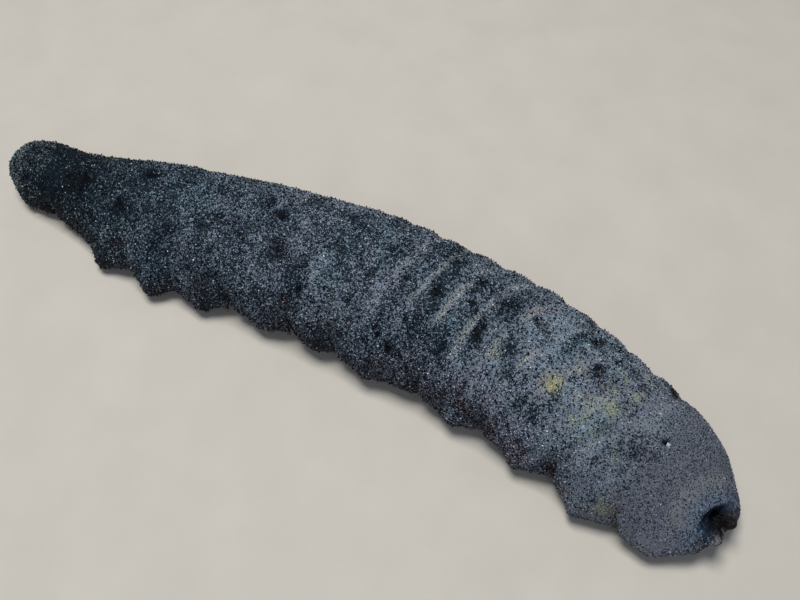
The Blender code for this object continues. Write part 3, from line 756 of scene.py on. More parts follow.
def vent_surface(last_rings):
    """From the last rings of the body over the lips and into the hole. The shares below 0 lie on the body."""
    lips = bells(skin_turn, VENT_LIPS) * MM
    slots = bells(skin_turn, VENT_SLOTS) * MM
    pucker = PUCKER_DEPTH * np.sin(PUCKER_COUNT * skin_turn + 2 * np.sin(3 * skin_turn))
    rings = [np.concatenate([ring, np.full((SKIN_ANGLES, 1), share)], axis=1)
             for ring, share in zip(last_rings, (-0.3, -0.15))]
    for share in LIP_SHARES:
        profile = math.sin(math.pi * share ** 0.8) ** 0.7
        along = (lips - slots) * profile - LIP_INSET
        rings.append(vent_ring(along, share, skin_turn, pucker * share))
    for deeper, narrower in VENT_HOLE_PROFILE:
        inset = VENT_HOLE_RADIUS * narrower + pucker * (1 - narrower)
        ring = vent_ring(-LIP_INSET - VENT_HOLE_DEPTH * deeper, 1.0, skin_turn, inset)
        ring[:, 3] += deeper
        rings.append(ring)
    return curve_through(rings, VENT_STEPS)


body_rings = sink_mouth(body_surface(station_grid, turn_grid))
vent_rings = vent_surface(body_rings[[-3, -1]])[1:]
vent_share = vent_rings[:, :, 3]
skin_rings = np.concatenate([body_rings, vent_rings[:, :, :3]])
skin_steps, skin_sides = skin_rings.shape[:2]
print("skin rings:", skin_steps, "of", skin_sides, "points")

# %% [markdown]
# Everything here is a mesh of arrays, so a few helpers serve all the pieces. One makes an object from points
# and faces, one lists the faces of a tube of rings, and one stores a number for each point, which is how a
# surface tells its material where it is dark or dusty. The flat layout puts the station along one side of
# a square and the angle along the other, as if the skin were slit under the sole and rolled out.


# %% Mesh helpers
def make_object(name, points, face_groups, material):
    """An object from points and from arrays of faces, each row the point numbers of one face."""
    mesh = bpy.data.meshes.new(name)
    corners = np.concatenate([group.ravel() for group in face_groups]).astype(np.int32)
    sizes = np.concatenate([np.full(len(group), group.shape[1]) for group in face_groups])
    starts = np.concatenate([[0], np.cumsum(sizes)[:-1]]).astype(np.int32)
    mesh.vertices.add(len(points))
    mesh.vertices.foreach_set("co", np.ascontiguousarray(points, np.float32).ravel())
    mesh.loops.add(len(corners))
    mesh.loops.foreach_set("vertex_index", corners)
    mesh.polygons.add(len(sizes))
    mesh.polygons.foreach_set("loop_start", starts)
    mesh.polygons.foreach_set("use_smooth", np.ones(len(sizes), bool))
    mesh.update(calc_edges=True)
    mesh.materials.append(material)
    made = bpy.data.objects.new(name, mesh)
    bpy.context.scene.collection.objects.link(made)
    triangles = int((sizes - 2).sum())
    print(f"{name}: {triangles} triangles")
    return made


def tube_faces(rings, sides):
    """Quads between neighbouring rings of a closed tube, and a fan at each end to two last points."""
    i, j = np.meshgrid(np.arange(rings - 1), np.arange(sides), indexing="ij")
    k = (j + 1) % sides
    quads = np.stack([i * sides + j, i * sides + k, (i + 1) * sides + k, (i + 1) * sides + j], -1)
    j = np.arange(sides)
    k = (j + 1) % sides
    top = (rings - 1) * sides
    start_fan = np.stack([np.full(sides, rings * sides), k, j], -1)
    end_fan = np.stack([np.full(sides, rings * sides + 1), top + j, top + k], -1)
    return quads.reshape(-1, 4), np.concatenate([start_fan, end_fan])


def with_poles(rings):
    """The points of a tube's rings, and then the middle of its first and of its last ring."""
    return np.concatenate([rings.reshape(-1, rings.shape[-1]), rings[:1].mean(1), rings[-1:].mean(1)])


def set_values(thing, name, values):
    """Stores one number for each point of the mesh, for its material to read."""
    stored = thing.data.attributes.new(name, "FLOAT", "POINT")
    stored.data.foreach_set("value", np.asarray(values, np.float32).ravel())


def set_layout(thing, face_groups, places):
    """Stores the flat layout OFBake: for each corner of each face, the place of its point."""
    corners = np.concatenate([group.ravel() for group in face_groups])
    layer = thing.data.uv_layers.new(name="OFBake")
    layer.data.foreach_set("uv", np.asarray(places[corners], np.float32).ravel())


# %% [markdown]
# ## Finish of the skin
#
# Body wall is neither plastic nor stone: it is matt where sediment clings and only slightly slick where it
# is bare. The colour starts from slate, goes almost black in the blotches, brown on the flank and sole and
# blue round the vent. On top lie patterns of four sizes: pale silt of about half a millimetre, the clumps
# it gathers in, dark pores about 1.6 mm apart, and soft mottling. The silt takes its own tint from the
# marks, bluish, brownish or yellow-green. The bump uses the same speckle, so that it catches the light.

# %% Leathery skin
SKIN_SLATE = "#121722"
SKIN_TEAL = "#0d1a25"
SKIN_BLACK = "#030509"
SKIN_BROWN = "#1e1918"
SKIN_RED = "#2e1411"
SKIN_BLUE = "#1b2a3d"
SILT_PALE = "#6c7383"
SILT_TEAL = "#607684"
SILT_SMOOTH = "#5a606c"
SILT_BLUE = "#566579"
SILT_BROWN = "#645e5d"
SILT_YELLOW = "#8d9062"
SILT_SIZE = 0.5 * MM
CLUMP_SIZE = 1.3 * MM
PORE_SPACING = 1.6 * MM
MOTTLE_SIZE = 5 * MM
SPECKLE_RELIEF = 0.35 * MM
SKIN_SHINE = 0.05


def leathery_body_wall(tree):
    """Slate body wall with silt, pores and blotches. Patterns follow Object coordinates."""
    place = add_node(tree, "TexCoord", {}, "Object")
    mark = {name: add_node(tree, "Attribute", {}, "Fac", attribute_name=name) for name in skin_marks}
    grain = add_node(tree, "TexNoise", {"Vector": place, "Scale": 1 / SILT_SIZE, "Detail": 2.0,
                                        "Roughness": 0.6})
    clumps = add_node(tree, "TexNoise", {"Vector": place, "Scale": 1 / CLUMP_SIZE, "Detail": 2.0})
    mottle = add_node(tree, "TexNoise", {"Vector": place, "Scale": 1 / MOTTLE_SIZE, "Detail": 3.0})
    pores = add_node(tree, "TexVoronoi", {"Vector": place, "Scale": 1 / PORE_SPACING})
    pore = add_node(tree, "MapRange", {0: pores, 1: 0.14, 2: 0.32, 3: 1.0, 4: 0.0}, **EASED)

    # Bare skin: each tint covers the one before where its mark is strong.
    colour = SKIN_SLATE
    for name, tint in (("teal", SKIN_TEAL), ("brown", SKIN_BROWN), ("blue", SKIN_BLUE), ("red", SKIN_RED)):
        colour = add_node(tree, "Mix", {0: mark[name], 6: colour, 7: tint}, 2, **MIX)
    mottle = add_node(tree, "MapRange", {0: mottle, 1: 0.3, 2: 0.7, 3: 0.7, 4: 1.3}, **EASED)
    colour = add_node(tree, "Mix", {0: 1.0, 6: colour, 7: mottle}, 2, **PRODUCT)

    # Silt lies where the sum of the fine noise and of three shares is high.
    calm = add_node(tree, "Math", {0: mark["smooth"], 1: mark["smooth"]}, operation="MULTIPLY")
    amount = grain
    for share, weight in ((mark["cover"], 0.60), (clumps, 0.7), (calm, 0.09)):
        amount = add_node(tree, "Math", {0: share, 1: weight, 2: amount}, operation="MULTIPLY_ADD")
    silt = add_node(tree, "MapRange", {0: amount, 1: 0.97, 2: 1.21}, **EASED)
    dust = SILT_PALE
    for name, tint in (("teal", SILT_TEAL), ("smooth", SILT_SMOOTH), ("blue", SILT_BLUE),
                       ("brown", SILT_BROWN), ("yellow", SILT_YELLOW)):
        dust = add_node(tree, "Mix", {0: mark[name], 6: dust, 7: tint}, 2, **MIX)
    tone = add_node(tree, "MapRange", {0: grain, 1: 0.35, 2: 0.65, 3: 0.72, 4: 1.25}, **EASED)
    dust = add_node(tree, "Mix", {0: 1.0, 6: dust, 7: tone}, 2, **PRODUCT)
    colour = add_node(tree, "Mix", {0: silt, 6: colour, 7: dust}, 2, **MIX)

    # Pores and dark marks are black, whichever is stronger. Pores fade on the smooth rear.
    fading = add_node(tree, "MapRange", {0: mark["smooth"], 1: 0.0, 2: 1.0, 3: 0.75, 4: 0.20}, **EASED)
    pitted = add_node(tree, "Math", {0: pore, 1: fading}, operation="MULTIPLY")
    darkened = add_node(tree, "Math", {0: mark["dark"], 1: 0.85}, operation="MULTIPLY")
    black = add_node(tree, "Math", {0: pitted, 1: darkened}, operation="MAXIMUM")
    height = add_node(tree, "Math", {0: grain, 1: pore}, operation="SUBTRACT")
    return {"Base Color": add_node(tree, "Mix", {0: black, 6: colour, 7: SKIN_BLACK}, 2, **MIX),
            "Roughness": add_node(tree, "MapRange", {0: silt, 1: 0.0, 2: 1.0, 3: 0.55, 4: 0.85}, **EASED),
            "Specular IOR Level": SKIN_SHINE,
            "Normal": add_node(tree, "Bump", {"Strength": 0.8, "Distance": SPECKLE_RELIEF, "Height": height})}


# %% [markdown]
# The marks are worked out for every point of the skin. The rings of the vent all lie at the end station, so
# they start from the marks of the body's last ring. Towards the hole silt gives way to bare dark skin, the
# funnel above it is blue, the bulge and the flap below are brown, and the flap has pale edges. From the
# inner lips down into the hole the skin is painted black, which is painted shade, and it reaches higher on
# the funnel above the hole.

# %% Values that the skin's material reads
vent_steps = len(vent_rings)
row_station = np.concatenate([skin_stations, np.full(vent_steps, skin_stations[-1])])
skin_marks = markings(*np.meshgrid(row_station, skin_turn, indexing="ij"))
vent_marks = {name: values[-vent_steps:] for name, values in skin_marks.items()}

# Round the vent, by angle: the bulge and the flap, the flap's two pale edges, and the funnel above, where
# painted shade reaches up from the hole.
lower = np.clip(bells(skin_turn, ((-35, 46, 1), (-112, 42, 1))), 0, 1)
flap_edges = bells(skin_turn, ((-88, 6, 0.5), (-138, 6, 0.5)))
shade_above_hole = bells(skin_turn, ((100, 45, 0.55),))
inwards = smooth_step(vent_share, -0.05, 0.5)
vent_marks["cover"] *= 1 - np.maximum(inwards, lower * smooth_step(vent_share, -0.3, 0.3))
vent_marks["cover"] += flap_edges * smooth_step(vent_share, 0, 0.2) * smooth_step(vent_share, 0.8, -0.2)
vent_marks["brown"] += (0.9 - vent_marks["brown"]) * lower * inwards
vent_marks["blue"] += (1 - vent_marks["blue"]) * smooth_step(vent_share, 0, 0.4)
vent_marks["blue"] *= 1 - lower * inwards
# Painted shade: black from the inner lips down into the hole, higher up on the funnel above it.
vent_marks["dark"] += (1 - vent_marks["dark"]) * smooth_step(vent_share + shade_above_hole, 0.35, 0.55)

# %% The skin as an object
skin_faces = tube_faces(skin_steps, skin_sides)
skin = make_object("skin", with_poles(skin_rings), skin_faces, new_material(leathery_body_wall))
for name, values in skin_marks.items():
    set_values(skin, name, with_poles(values[..., None]))
along_layout = np.linspace(0.004, 0.996, skin_steps)[:, None] * np.ones((1, skin_sides))
across_layout = ((skin_turn + math.pi / 2) % (2 * math.pi) / (2 * math.pi))[None] * np.ones((skin_steps, 1))
set_layout(skin, skin_faces, with_poles(np.stack([along_layout, across_layout], -1)))
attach(skin, "root")
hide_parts("head_end", "front_body", "middle_body", "rear_body", "vent_end", "vent")

# %% [markdown]
# ## Scattering small things
#
# Papillae and grains sit on the skin and stand square to it. To spread them evenly over a curved skin, each
# little patch of it is drawn as often as its area says, times a density that follows the markings. A
# random place inside the patch then comes from blending its four corners.


# %% Draw places on the skin
def draw_places(density, seed, first_ring, last_ring):
    """Random points of the skin between two rings, with their normals, stations, angles and marks.

    density has one value for each patch between two rings and two angles."""
    rows = slice(first_ring, last_ring)
    rings = skin_rings[rows]
    beside = np.roll(rings, -1, axis=1)
    across = (beside[:-1] - rings[:-1] + beside[1:] - rings[1:]) / 2
    along = (rings[1:] - rings[:-1] + beside[1:] - beside[:-1]) / 2
    square = np.cross(across, along)
    area = np.linalg.norm(square, axis=-1)
    share = np.cumsum((area * density[rows][:len(area)]).ravel())
    count = min(MOST_GRAINS, int(GRAINS_PER_AREA * share[-1]))
    random = np.random.default_rng(seed)
    patch = np.searchsorted(share, random.random(count) * share[-1])
    i, j = np.unravel_index(patch, area.shape)
    u, v = random.random((2, count, 1))
    low = rings[i, j] * (1 - v) + beside[i, j] * v
    high = rings[i + 1, j] * (1 - v) + beside[i + 1, j] * v
    marks = {name: values[rows][i, j] for name, values in skin_marks.items()}
    return {"point": low * (1 - u) + high * u, "normal": square[i, j] / area[i, j][:, None],
            "row": (i + u[:, 0]) / len(area), "turn": (j + v[:, 0]) / skin_sides,
            "station": row_station[rows][i], "marks": marks, "random": random}


def root_layout(drawn, local):
    """Layout of small things: each is a patch about 0.003 across at its root's place on the skin's layout."""
    roots = np.stack([drawn["row"], (drawn["turn"] + 0.25) % 1], -1) * 0.99 + 0.005
    return (roots[:, None] + local * 0.0015).reshape(-1, 2)


def repeat_faces(faces, points_each, count):
    """The faces of one small thing, repeated for all of them with their own point numbers."""
    offsets = np.arange(count)[:, None, None] * points_each
    return (faces[None] + offsets).reshape(-1, faces.shape[1])


# %% [markdown]
# ## Papillae
#
# On the back the tube feet have turned into papillae, small soft points that feel the water. They stand
# almost evenly spaced, which is what makes the back look stippled. Towards the rear they are pulled in and
# show as round black dots. Each is a five-sided cone with a rounded tip. They are placed on a staggered
# lattice, and noise nudges each a little from its place.

# %% Papillae
PAPILLA_SPACING = 2.1 * MM
DOT_SPACING = 2.0 * MM
PAPILLA_SIDES = 5
PAPILLA_PROFILE = np.array([(-0.30, 0.95), (0.30, 0.86), (0.85, 0.42)])
PAPILLA_ANGLES = (math.radians(-28), math.radians(208))
PAPILLA_LEAN = 0.22


def skin_at(s, theta):
    """Points of the skin and its outward directions, from short steps along it and round it."""
    step, turn = 0.3 * MM, 0.01
    along = body_surface(s + step, theta) - body_surface(s - step, theta)
    around = body_surface(s, theta + turn) - body_surface(s, theta - turn)
    normal = np.cross(around, along)
    return body_surface(s, theta), normal / np.linalg.norm(normal, axis=-1)[..., None]


def place_things(s, theta, seed):
    """What draw_places gives, for stations and angles that are chosen already."""
    point, normal = skin_at(s, theta)
    row = np.interp(s, skin_stations, np.arange(len(skin_stations))) / skin_steps
    return {"point": point, "normal": normal, "row": row, "turn": theta / (2 * math.pi) % 1,
            "station": s, "marks": markings(s, theta), "random": np.random.default_rng(seed)}


def staggered_lattice(first, last, spacing, low, high, seed):
    """Stations and angles of rows across the body, every other row shifted by half a step."""
    random = np.random.default_rng(seed)
    rows = []
    for i, s in enumerate(np.arange(first, last, 0.87 * spacing)):
        step = spacing / girth_at(s)
        theta = np.arange(low + (i % 2) * step / 2, high, step)
        nudge = 0.27 * spacing * random.normal(size=(2, len(theta)))
        rows.append(np.stack([s + nudge[0], theta + nudge[1] / girth_at(s)]))
    return np.concatenate(rows, axis=1)


def upright_axes(normal, random, lean):
    """Three directions for each thing: up, the normal tilted at random by about lean, and two across."""
    up = normal + lean * random.normal(size=normal.shape)
    up /= np.linalg.norm(up, axis=1)[:, None]
    side = np.cross(up, random.normal(size=normal.shape))
    side /= np.linalg.norm(side, axis=1)[:, None]
    return up, side, np.cross(up, side)


def turned_things(drawn, axes, levels, reaches, sides):
    """Small turned shapes. levels and reaches have a row for each thing and a column for each ring."""
    up, side, other = axes
    turn = turns(sides)
    out = side[:, None] * np.cos(turn)[None, :, None] + other[:, None] * np.sin(turn)[None, :, None]
    rings = (drawn["point"][:, None, None] + up[:, None, None] * levels[..., None, None]
             + out[:, None] * reaches[..., None, None])
    last = levels[:, -1] + 0.4 * reaches[:, -1]
    ends = [rings[:, 0].mean(1, keepdims=True), (drawn["point"] + up * last[:, None])[:, None]]
    points = np.concatenate([rings.reshape(len(rings), -1, 3), *ends], axis=1)
    steps = levels.shape[1]
    faces = [repeat_faces(group, points.shape[1], len(points)) for group in tube_faces(steps, sides)]
    flat = np.stack([np.cos(turn), np.sin(turn)], -1) * np.linspace(1, 0.4, steps)[:, None, None]
    local = np.concatenate([flat.reshape(-1, 2), np.zeros((2, 2))])
    return points.reshape(-1, 3), faces, root_layout(drawn, local)


def papilla_skin(tree):
    """Soft dark points, some with a paler tip. Their colour follows the same marks as the skin."""
    place = add_node(tree, "TexCoord", {}, "Object")
    grain = add_node(tree, "TexNoise", {"Vector": place, "Scale": 1 / SILT_SIZE})
    tone = add_node(tree, "MapRange", {0: grain, 1: 0.3, 2: 0.7, 3: 0.6, 4: 1.4}, **EASED)
    colour = "#080e17"
    for name, tint in (("brown", "#120e0d"), ("dark", SKIN_BLACK), ("tip", "#5f6d82")):
        share = add_node(tree, "Attribute", {}, "Fac", attribute_name=name)
        colour = add_node(tree, "Mix", {0: share, 6: colour, 7: tint}, 2, **MIX)
    return {"Base Color": add_node(tree, "Mix", {0: 1.0, 6: colour, 7: tone}, 2, **PRODUCT),
            "Roughness": 0.7, "Specular IOR Level": SKIN_SHINE}


# %% Three lengths of papillae
papilla_material = new_material(papilla_skin)
papilla_runs = ((6, 170, PAPILLA_SPACING), (170, 276, PAPILLA_SPACING), (276, 333.5, DOT_SPACING))
for run, (first, last, spacing) in enumerate(papilla_runs):
    lattice = staggered_lattice(first * MM, last * MM, spacing, *PAPILLA_ANGLES, 101 + run)
    drawn = place_things(*lattice, 111 + run)
    marks = drawn["marks"]
    count = len(drawn["station"])
    pulled_in = marks["smooth"]
    spread = drawn["random"].random((2, count))
    height = (0.40 + 0.65 * spread[0] ** 2) * MM * (1 - pulled_in) + 0.26 * MM * pulled_in
    radius = (0.28 + 0.18 * spread[1]) * MM * (1 - pulled_in) + (0.18 + 0.15 * spread[1]) * MM * pulled_in
    levels = height[:, None] * PAPILLA_PROFILE[:, 0]
    reaches = radius[:, None] * PAPILLA_PROFILE[:, 1]
    axes = upright_axes(drawn["normal"], drawn["random"], PAPILLA_LEAN)
    points, faces, layout = turned_things(drawn, axes, levels, reaches, PAPILLA_SIDES)
    papillae = make_object(f"papillae_{run + 1}", points, faces, papilla_material)
    set_layout(papillae, faces, layout)
    points_each = len(points) // count
    paleness = 0.6 * (1 - pulled_in) * (1 - 0.8 * marks["dark"]) * drawn["random"].random(count) ** 3
    tip_paleness = np.zeros((count, points_each))
    tip_paleness[:, -PAPILLA_SIDES - 2:] = paleness[:, None]
    tip_paleness[:, -2] = 0
    set_values(papillae, "tip", tip_paleness)
    for name in ("brown", "dark"):
        set_values(papillae, name, np.repeat(marks[name], points_each))
    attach(papillae, "root")

# %% [markdown]
# ## Tube feet
#
# Under the sole hundreds of tube feet carry the animal. Each is a soft stalk that ends in a sucker: a flat
# disc, slightly hollow below. They stand in rows across the sole, pale brown, and every disc rests on the
# floor. Beside the mouth there are none.

# %% Tube feet
FOOT_SPACING = 4.3 * MM
FOOT_SIDES = 12
FOOT_SHAFT = 0.55 * MM
FOOT_DISC = 0.95 * MM
FOOT_DISC_THICKNESS = 0.32 * MM
FOOT_HOLLOW = 0.18 * MM
FOOT_ROOT = 0.7 * MM
UNDERSIDE = np.linspace(math.radians(203), math.radians(337), 90)


def foot_roots():
    """Roots in rows across the underside, with their stations and angles, clear of the mouth."""
    random = np.random.default_rng(301)
    mouth = spine_xy(np.array(MOUTH_STATION))
    roots = []
    for i, s in enumerate(np.arange(9 * MM, 322 * MM, 0.87 * FOOT_SPACING)):
        section = body_surface(np.full(UNDERSIDE.shape, s), UNDERSIDE)
        run = np.concatenate([[0], np.cumsum(np.linalg.norm(np.diff(section[:, :2], axis=0), axis=1))])
        wanted = np.arange((i % 2 + 0.3) * FOOT_SPACING / 2, run[-1], FOOT_SPACING)
        wanted = wanted + 0.5 * MM * random.normal(size=wanted.shape)
        columns = [np.interp(wanted, run, column) for column in (*section.T, UNDERSIDE)]
        roots.append(np.stack([*columns, np.full(wanted.shape, s)], -1))
    roots = np.concatenate(roots)
    clear = np.hypot(roots[:, 0] - mouth[0], roots[:, 1] - mouth[1]) > MOUTH_RECESS_RADIUS + 0.8 * MM
    return roots[clear]


def tube_foot_skin(tree):
    """Pale brown stalks, darker at the root and paler on the sucker."""
    place = add_node(tree, "TexCoord", {}, "Object")
    level = add_node(tree, "SeparateXYZ", {0: place}, "Z")
    share = add_node(tree, "MapRange", {0: level, 1: 0.4 * MM, 2: 3.0 * MM}, **EASED)
    colour = add_node(tree, "Mix", {0: share, 6: "#8b7763", 7: "#3d342f"}, 2, **MIX)
    return {"Base Color": colour, "Roughness": 0.5, "Specular IOR Level": 0.35}


# %% The feet as one object
roots = foot_roots()
root_level = roots[:, 2]
ground = np.column_stack([roots[:, :2], np.zeros(len(roots))])
one = np.ones(len(roots))
foot_levels = np.stack([FOOT_HOLLOW * one, 0 * one, FOOT_DISC_THICKNESS * one,
                        1.6 * FOOT_DISC_THICKNESS * one, 0.5 * root_level + 0.2 * MM,
                        root_level + FOOT_ROOT], -1)
foot_profile = np.array([0.45 * FOOT_DISC, FOOT_DISC, 0.96 * FOOT_DISC,
                         FOOT_SHAFT, 0.9 * FOOT_SHAFT, 1.2 * FOOT_SHAFT])
foot_reaches = foot_profile * (0.85 + 0.3 * np.random.default_rng(302).random(len(roots)))[:, None]
upright = [np.tile(direction, (len(roots), 1)) for direction in np.eye(3)[[2, 0, 1]]]
foot_row = np.interp(roots[:, 4], skin_stations, np.arange(len(skin_stations))) / skin_steps
foot_drawn = {"point": ground, "row": foot_row, "turn": roots[:, 3] / (2 * math.pi)}
points, faces, layout = turned_things(foot_drawn, upright, foot_levels, foot_reaches, FOOT_SIDES)
feet = make_object("tube_feet", points, faces, new_material(tube_foot_skin))
set_layout(feet, faces, layout)
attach(feet, "root")
print("tube feet:", len(roots))

# %% [markdown]
# ## Mouth and tentacles
#
# Under the narrow end a round plate carries the mouth, ringed by twenty tentacles. When the animal feeds
# they sweep sand into the mouth. Each ends in a shield that branches into rounded lobes. Here they are half
# pulled in, so each stalk is short and its shield is a small bush of lobes, every lobe a rounded knob.

# %% Mouth plate
MOUTH_DISC_THICKNESS = 3 * MM
MOUTH_DISC_LEVEL = MOUTH_RECESS_TOP - 0.2 * MM - MOUTH_DISC_THICKNESS
MOUTH_SIDES = 96
MOUTH_PLEATS = 20
MOUTH_PLEAT_DEPTH = 0.22 * MM

# Rings from the rim into the opening: height over the plate's lower face and radius in mm, and a share of
# the pleats' depth.
MOUTH_PROFILE = ((2.6, 9.0, 0), (0.8, 9.1, 0), (0, 8.3, 0.2), (0, 6.0, 0.5), (-0.2, 4.0, 0.8),
                 (-0.5, 2.6, 1), (-0.2, 1.8, 1), (0.9, 1.1, 0.8), (1.8, 0.8, 0.4))


def round_ring(middle, side, other, radius, sides):
    """A ring of points: middle + radius * (side * cos + other * sin) of its angles."""
    turn = turns(sides)[:, None]
    return middle + radius * (side * np.cos(turn) + other * np.sin(turn))


def mouth_disc(centre):
    """The mouth plate: a disc whose lower face is pleated towards a small round opening."""
    turn = turns(MOUTH_SIDES)
    pleat = MOUTH_PLEAT_DEPTH * np.sin(MOUTH_PLEATS * turn + 0.6 * np.sin(3 * turn))
    rings = []
    for level, radius, depth in MOUTH_PROFILE:
        middle = np.array([*centre, MOUTH_DISC_LEVEL + level * MM])
        ring = round_ring(middle, *np.eye(3)[:2], radius * MM, MOUTH_SIDES)
        ring[:, 2] += depth * pleat
        rings.append(ring)
    return curve_through([rings[0], *rings, rings[-1]], 3)


# %% Tentacles
# How many stand in each of two rings, their reach from the mouth's middle and their width.
TENTACLE_RINGS = ((12, 6.7 * MM, 1.45 * MM), (8, 3.9 * MM, 1.2 * MM))
TENTACLE_ROOT_LEVEL = MOUTH_RECESS_TOP - 3.0 * MM
TENTACLE_DROP = 3.1 * MM
TENTACLE_SPLAY = 0.5 * MM
LOBE_RINGS = 4
LOBE_SIDES = 7

# The stalk's share of its length and its radius, and for each whorl of knobs their number, their tilt from
# straight down, and their length and radius. All these sizes are in widths of the tentacle.
STALK_PROFILE = ((0, 0.62), (0.3, 0.5), (0.7, 0.48), (1.0, 0.6))
KNOB_WHORLS = ((9, 1.25, 1.35, 0.36), (7, 0.75, 1.6, 0.36), (3, 0.25, 1.7, 0.40))


def knob(centre, axis, length, radius):
    """A rounded lobe: an ellipsoid of a few rings from its root at the centre along its axis."""
    side = np.cross(axis, (0.3, 0.5, 0.8))
    side /= np.linalg.norm(side)
    other = np.cross(axis, side)
    return np.array([round_ring(centre + axis * length * (1 - math.cos(angle)) / 2, side, other,
                                radius * math.sin(angle), LOBE_SIDES)
                     for angle in np.linspace(0.15, 0.92, LOBE_RINGS) * math.pi])


def tentacle_parts(centre, angle, reach, width, random):
    """One tentacle as tubes: a stalk, and knobs in whorls that spread down and outwards."""
    east, north, up = np.eye(3)
    outward = east * math.cos(angle) + north * math.sin(angle)
    foot = np.array([*centre, TENTACLE_ROOT_LEVEL]) + reach * outward
    bush = foot + outward * TENTACLE_SPLAY - up * TENTACLE_DROP
    parts = [np.array([round_ring(foot * (1 - share) + bush * share, east, north, size * width, LOBE_SIDES)
                       for share, size in STALK_PROFILE])]
    for count, tilt, length, radius in KNOB_WHORLS:
        for k in range(count):
            spin = 2 * math.pi * (k + random.uniform(-0.2, 0.2)) / count
            lean = tilt + random.uniform(-0.12, 0.12)
            flat = east * math.cos(spin) + north * math.sin(spin)
            axis = flat * math.sin(lean) - up * math.cos(lean)
            size = width * random.uniform(0.85, 1.1)
            parts.append(knob(bush, axis, length * size, radius * size))
    return parts


def tentacle_skin(tree):
    """Moist grey-brown skin, paler towards the lowest tips."""
    place = add_node(tree, "TexCoord", {}, "Object")
    level = add_node(tree, "SeparateXYZ", {0: place}, "Z")
    share = add_node(tree, "MapRange", {0: level, 1: 1.5 * MM, 2: 7 * MM}, **EASED)
    colour = add_node(tree, "Mix", {0: share, 6: "#8a8071", 7: "#2b2722"}, 2, **MIX)
    mottle = add_node(tree, "TexNoise", {"Vector": place, "Scale": 1 / SILT_SIZE})
    mottle = add_node(tree, "MapRange", {0: mottle, 1: 0.3, 2: 0.7, 3: 0.7, 4: 1.3}, **EASED)
    colour = add_node(tree, "Mix", {0: 1.0, 6: colour, 7: mottle}, 2, **PRODUCT)
    return {"Base Color": colour, "Roughness": 0.45}


# %% Mouth and tentacles as one object
mouth_centre = spine_xy(np.array(MOUTH_STATION))
random = np.random.default_rng(401)
tubes = [mouth_disc(mouth_centre)]
for count, reach, width in TENTACLE_RINGS:
    for k in range(count):
        tubes += tentacle_parts(mouth_centre, 2 * math.pi * (k + 0.5) / count, reach, width, random)
points, groups, start = [], [], 0
for tube in tubes:
    points.append(with_poles(tube))
    groups += [group + start for group in tube_faces(*tube.shape[:2])]
    start += len(points[-1])
tentacles = make_object("tentacles", np.concatenate(points), groups, new_material(tentacle_skin))
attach(tentacles, "root")
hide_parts("mouth")

# %% [markdown]
# ## Sediment grains
#
# The animal lives in sand, and mucus glues a layer of it to the back. Seen close, this is thousands of
# separate bits of shell and coral, mostly grey-blue with some white and some dark ones. A bump map would
# look flat at the outline, so each grain is a mesh: an octahedron squashed along two axes and turned at
# random. Each length of the body has its own piece, to keep the pieces small.

# %% Grains
GRAIN_PIECES = 8
GRAINS_PER_AREA = 8.0 / MM ** 2
MOST_GRAINS = 24800
GRAIN_SIZE = 0.23 * MM
GRAIN_SIZE_SPREAD = 0.36
GRAIN_SIZE_LIMITS = (0.12 * MM, 0.5 * MM)
WHITE_SHARE = 0.006
STRAY_GRAINS = 0.008
OCTAHEDRON_POINTS = np.array([(1, 0, 0), (-1, 0, 0), (0, 1, 0), (0, -1, 0), (0, 0, 1), (0, 0, -1.0)])
OCTAHEDRON_FACES = np.array([(0, 2, 4), (2, 1, 4), (1, 3, 4), (3, 0, 4),
                             (2, 0, 5), (1, 2, 5), (3, 1, 5), (0, 3, 5)])


def random_turns(count, random):
    """Random rotation matrices, each from a random unit quaternion."""
    quaternions = random.normal(size=(4, count))
    w, x, y, z = quaternions / np.linalg.norm(quaternions, axis=0)
    rows = [[1 - 2 * (y * y + z * z), 2 * (x * y - z * w), 2 * (x * z + y * w)],
            [2 * (x * y + z * w), 1 - 2 * (x * x + z * z), 2 * (y * z - x * w)],
            [2 * (x * z - y * w), 2 * (y * z + x * w), 1 - 2 * (x * x + y * y)]]
    return np.moveaxis(np.array(rows), -1, 0)


def shell_and_coral_sand(tree):
    """Bits of shell and coral: dull facets, slate to pale blue-grey by tone, few of them white."""
    mark = {name: add_node(tree, "Attribute", {}, "Fac", attribute_name=name)
            for name in ("tone", "teal", "warm", "yellow")}
    pale = add_node(tree, "MapRange", {0: mark["tone"], 1: 0.0, 2: 1.0}, **EASED)
    white = add_node(tree, "MapRange", {0: mark["tone"], 1: 1.0, 2: 1.3}, **EASED)
    hue = add_node(tree, "Mix", {0: mark["teal"], 6: "#fbf4ff", 7: "#e4f8fd"}, 2, **MIX)
    colour = add_node(tree, "Mix", {0: pale, 6: "#0f1722", 7: "#aab4c6"}, 2, **MIX)
    colour = add_node(tree, "Mix", {0: white, 6: colour, 7: "#eef0ee"}, 2, **MIX)
    colour = add_node(tree, "Mix", {0: 1.0, 6: colour, 7: hue}, 2, **PRODUCT)
    for name, tint in (("warm", "#f2dcc4"), ("yellow", "#f4eca2")):
        colour = add_node(tree, "Mix", {0: mark[name], 6: colour, 7: tint}, 2, **PRODUCT)
    return {"Base Color": colour, "Roughness": 0.8, "Specular IOR Level": 0.1}


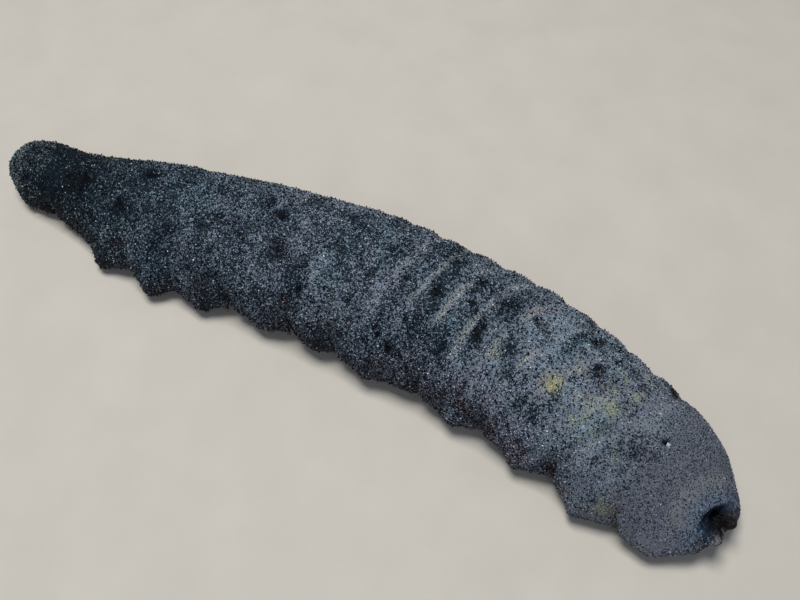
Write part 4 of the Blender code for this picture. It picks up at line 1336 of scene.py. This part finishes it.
# %% A coat of grains for each length of the body
sand = new_material(shell_and_coral_sand)
grain_density = skin_marks["cover"] * (1 - 0.4 * skin_marks["smooth"]) + STRAY_GRAINS
first_rings = np.interp(np.linspace(0, BODY_LENGTH, GRAIN_PIECES + 1), row_station, np.arange(skin_steps))
first_rings = [*first_rings[:-1].astype(int), skin_steps - 1]
for piece, (first, last) in enumerate(zip(first_rings[:-1], first_rings[1:])):
    drawn = draw_places(grain_density, 200 + piece, first, last + 1)
    random = drawn["random"]
    marks = drawn["marks"]
    count = len(drawn["station"])
    size = GRAIN_SIZE * np.exp(GRAIN_SIZE_SPREAD * random.normal(size=count)) * (1 - 0.25 * marks["smooth"])
    size = np.clip(size, *GRAIN_SIZE_LIMITS)
    along = drawn["station"] - CRACK_GRAIN[0] * MM
    across = (drawn["turn"] * 2 * math.pi - math.radians(CRACK_GRAIN[1])) * girth_at(drawn["station"])
    crack_gap = np.hypot(along, across)
    in_crack = (crack_gap < 2 * MM) & (crack_gap == crack_gap.min())
    size = np.where(in_crack, CRACK_GRAIN_SIZE, size)
    squash = np.stack([np.ones(count), *(0.55 + 0.45 * random.random((2, count)))], -1)
    shapes = OCTAHEDRON_POINTS[None] * (squash * size[:, None])[:, None]
    shapes = np.einsum("nij,npj->npi", random_turns(count, random), shapes)
    points = drawn["point"][:, None] + drawn["normal"][:, None] * (0.25 * size)[:, None, None] + shapes
    faces = [repeat_faces(OCTAHEDRON_FACES, 6, count)]
    grains = make_object(f"grains_{piece + 1}", points.reshape(-1, 3), faces, sand)
    grains.data.polygons.foreach_set("use_smooth", np.zeros(len(faces[0]), bool))
    set_layout(grains, faces, root_layout(drawn, OCTAHEDRON_POINTS[:, :2]))
    white = in_crack | (random.random(count) < WHITE_SHARE * (1 - 0.5 * marks["smooth"]))
    uneven_tone = 0.26 * (1 - 0.4 * marks["smooth"] ** 2) * random.normal(size=count)
    tone = 0.34 + 0.16 * marks["cover"] + uneven_tone - 0.3 * marks["dark"]
    tone = tone + 0.8 * white - 0.15 * marks["brown"] + 0.25 * marks["yellow"]
    values = {"tone": np.clip(tone, 0, 1.3),
              "warm": np.clip(0.2 + 0.35 * random.normal(size=count) + 0.5 * marks["brown"], 0, 1),
              "yellow": marks["yellow"] * (0.6 + 0.4 * random.random(count)),
              "teal": marks["teal"]}
    for name, numbers in values.items():
        set_values(grains, name, np.repeat(numbers, 6))
    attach(grains, "root")
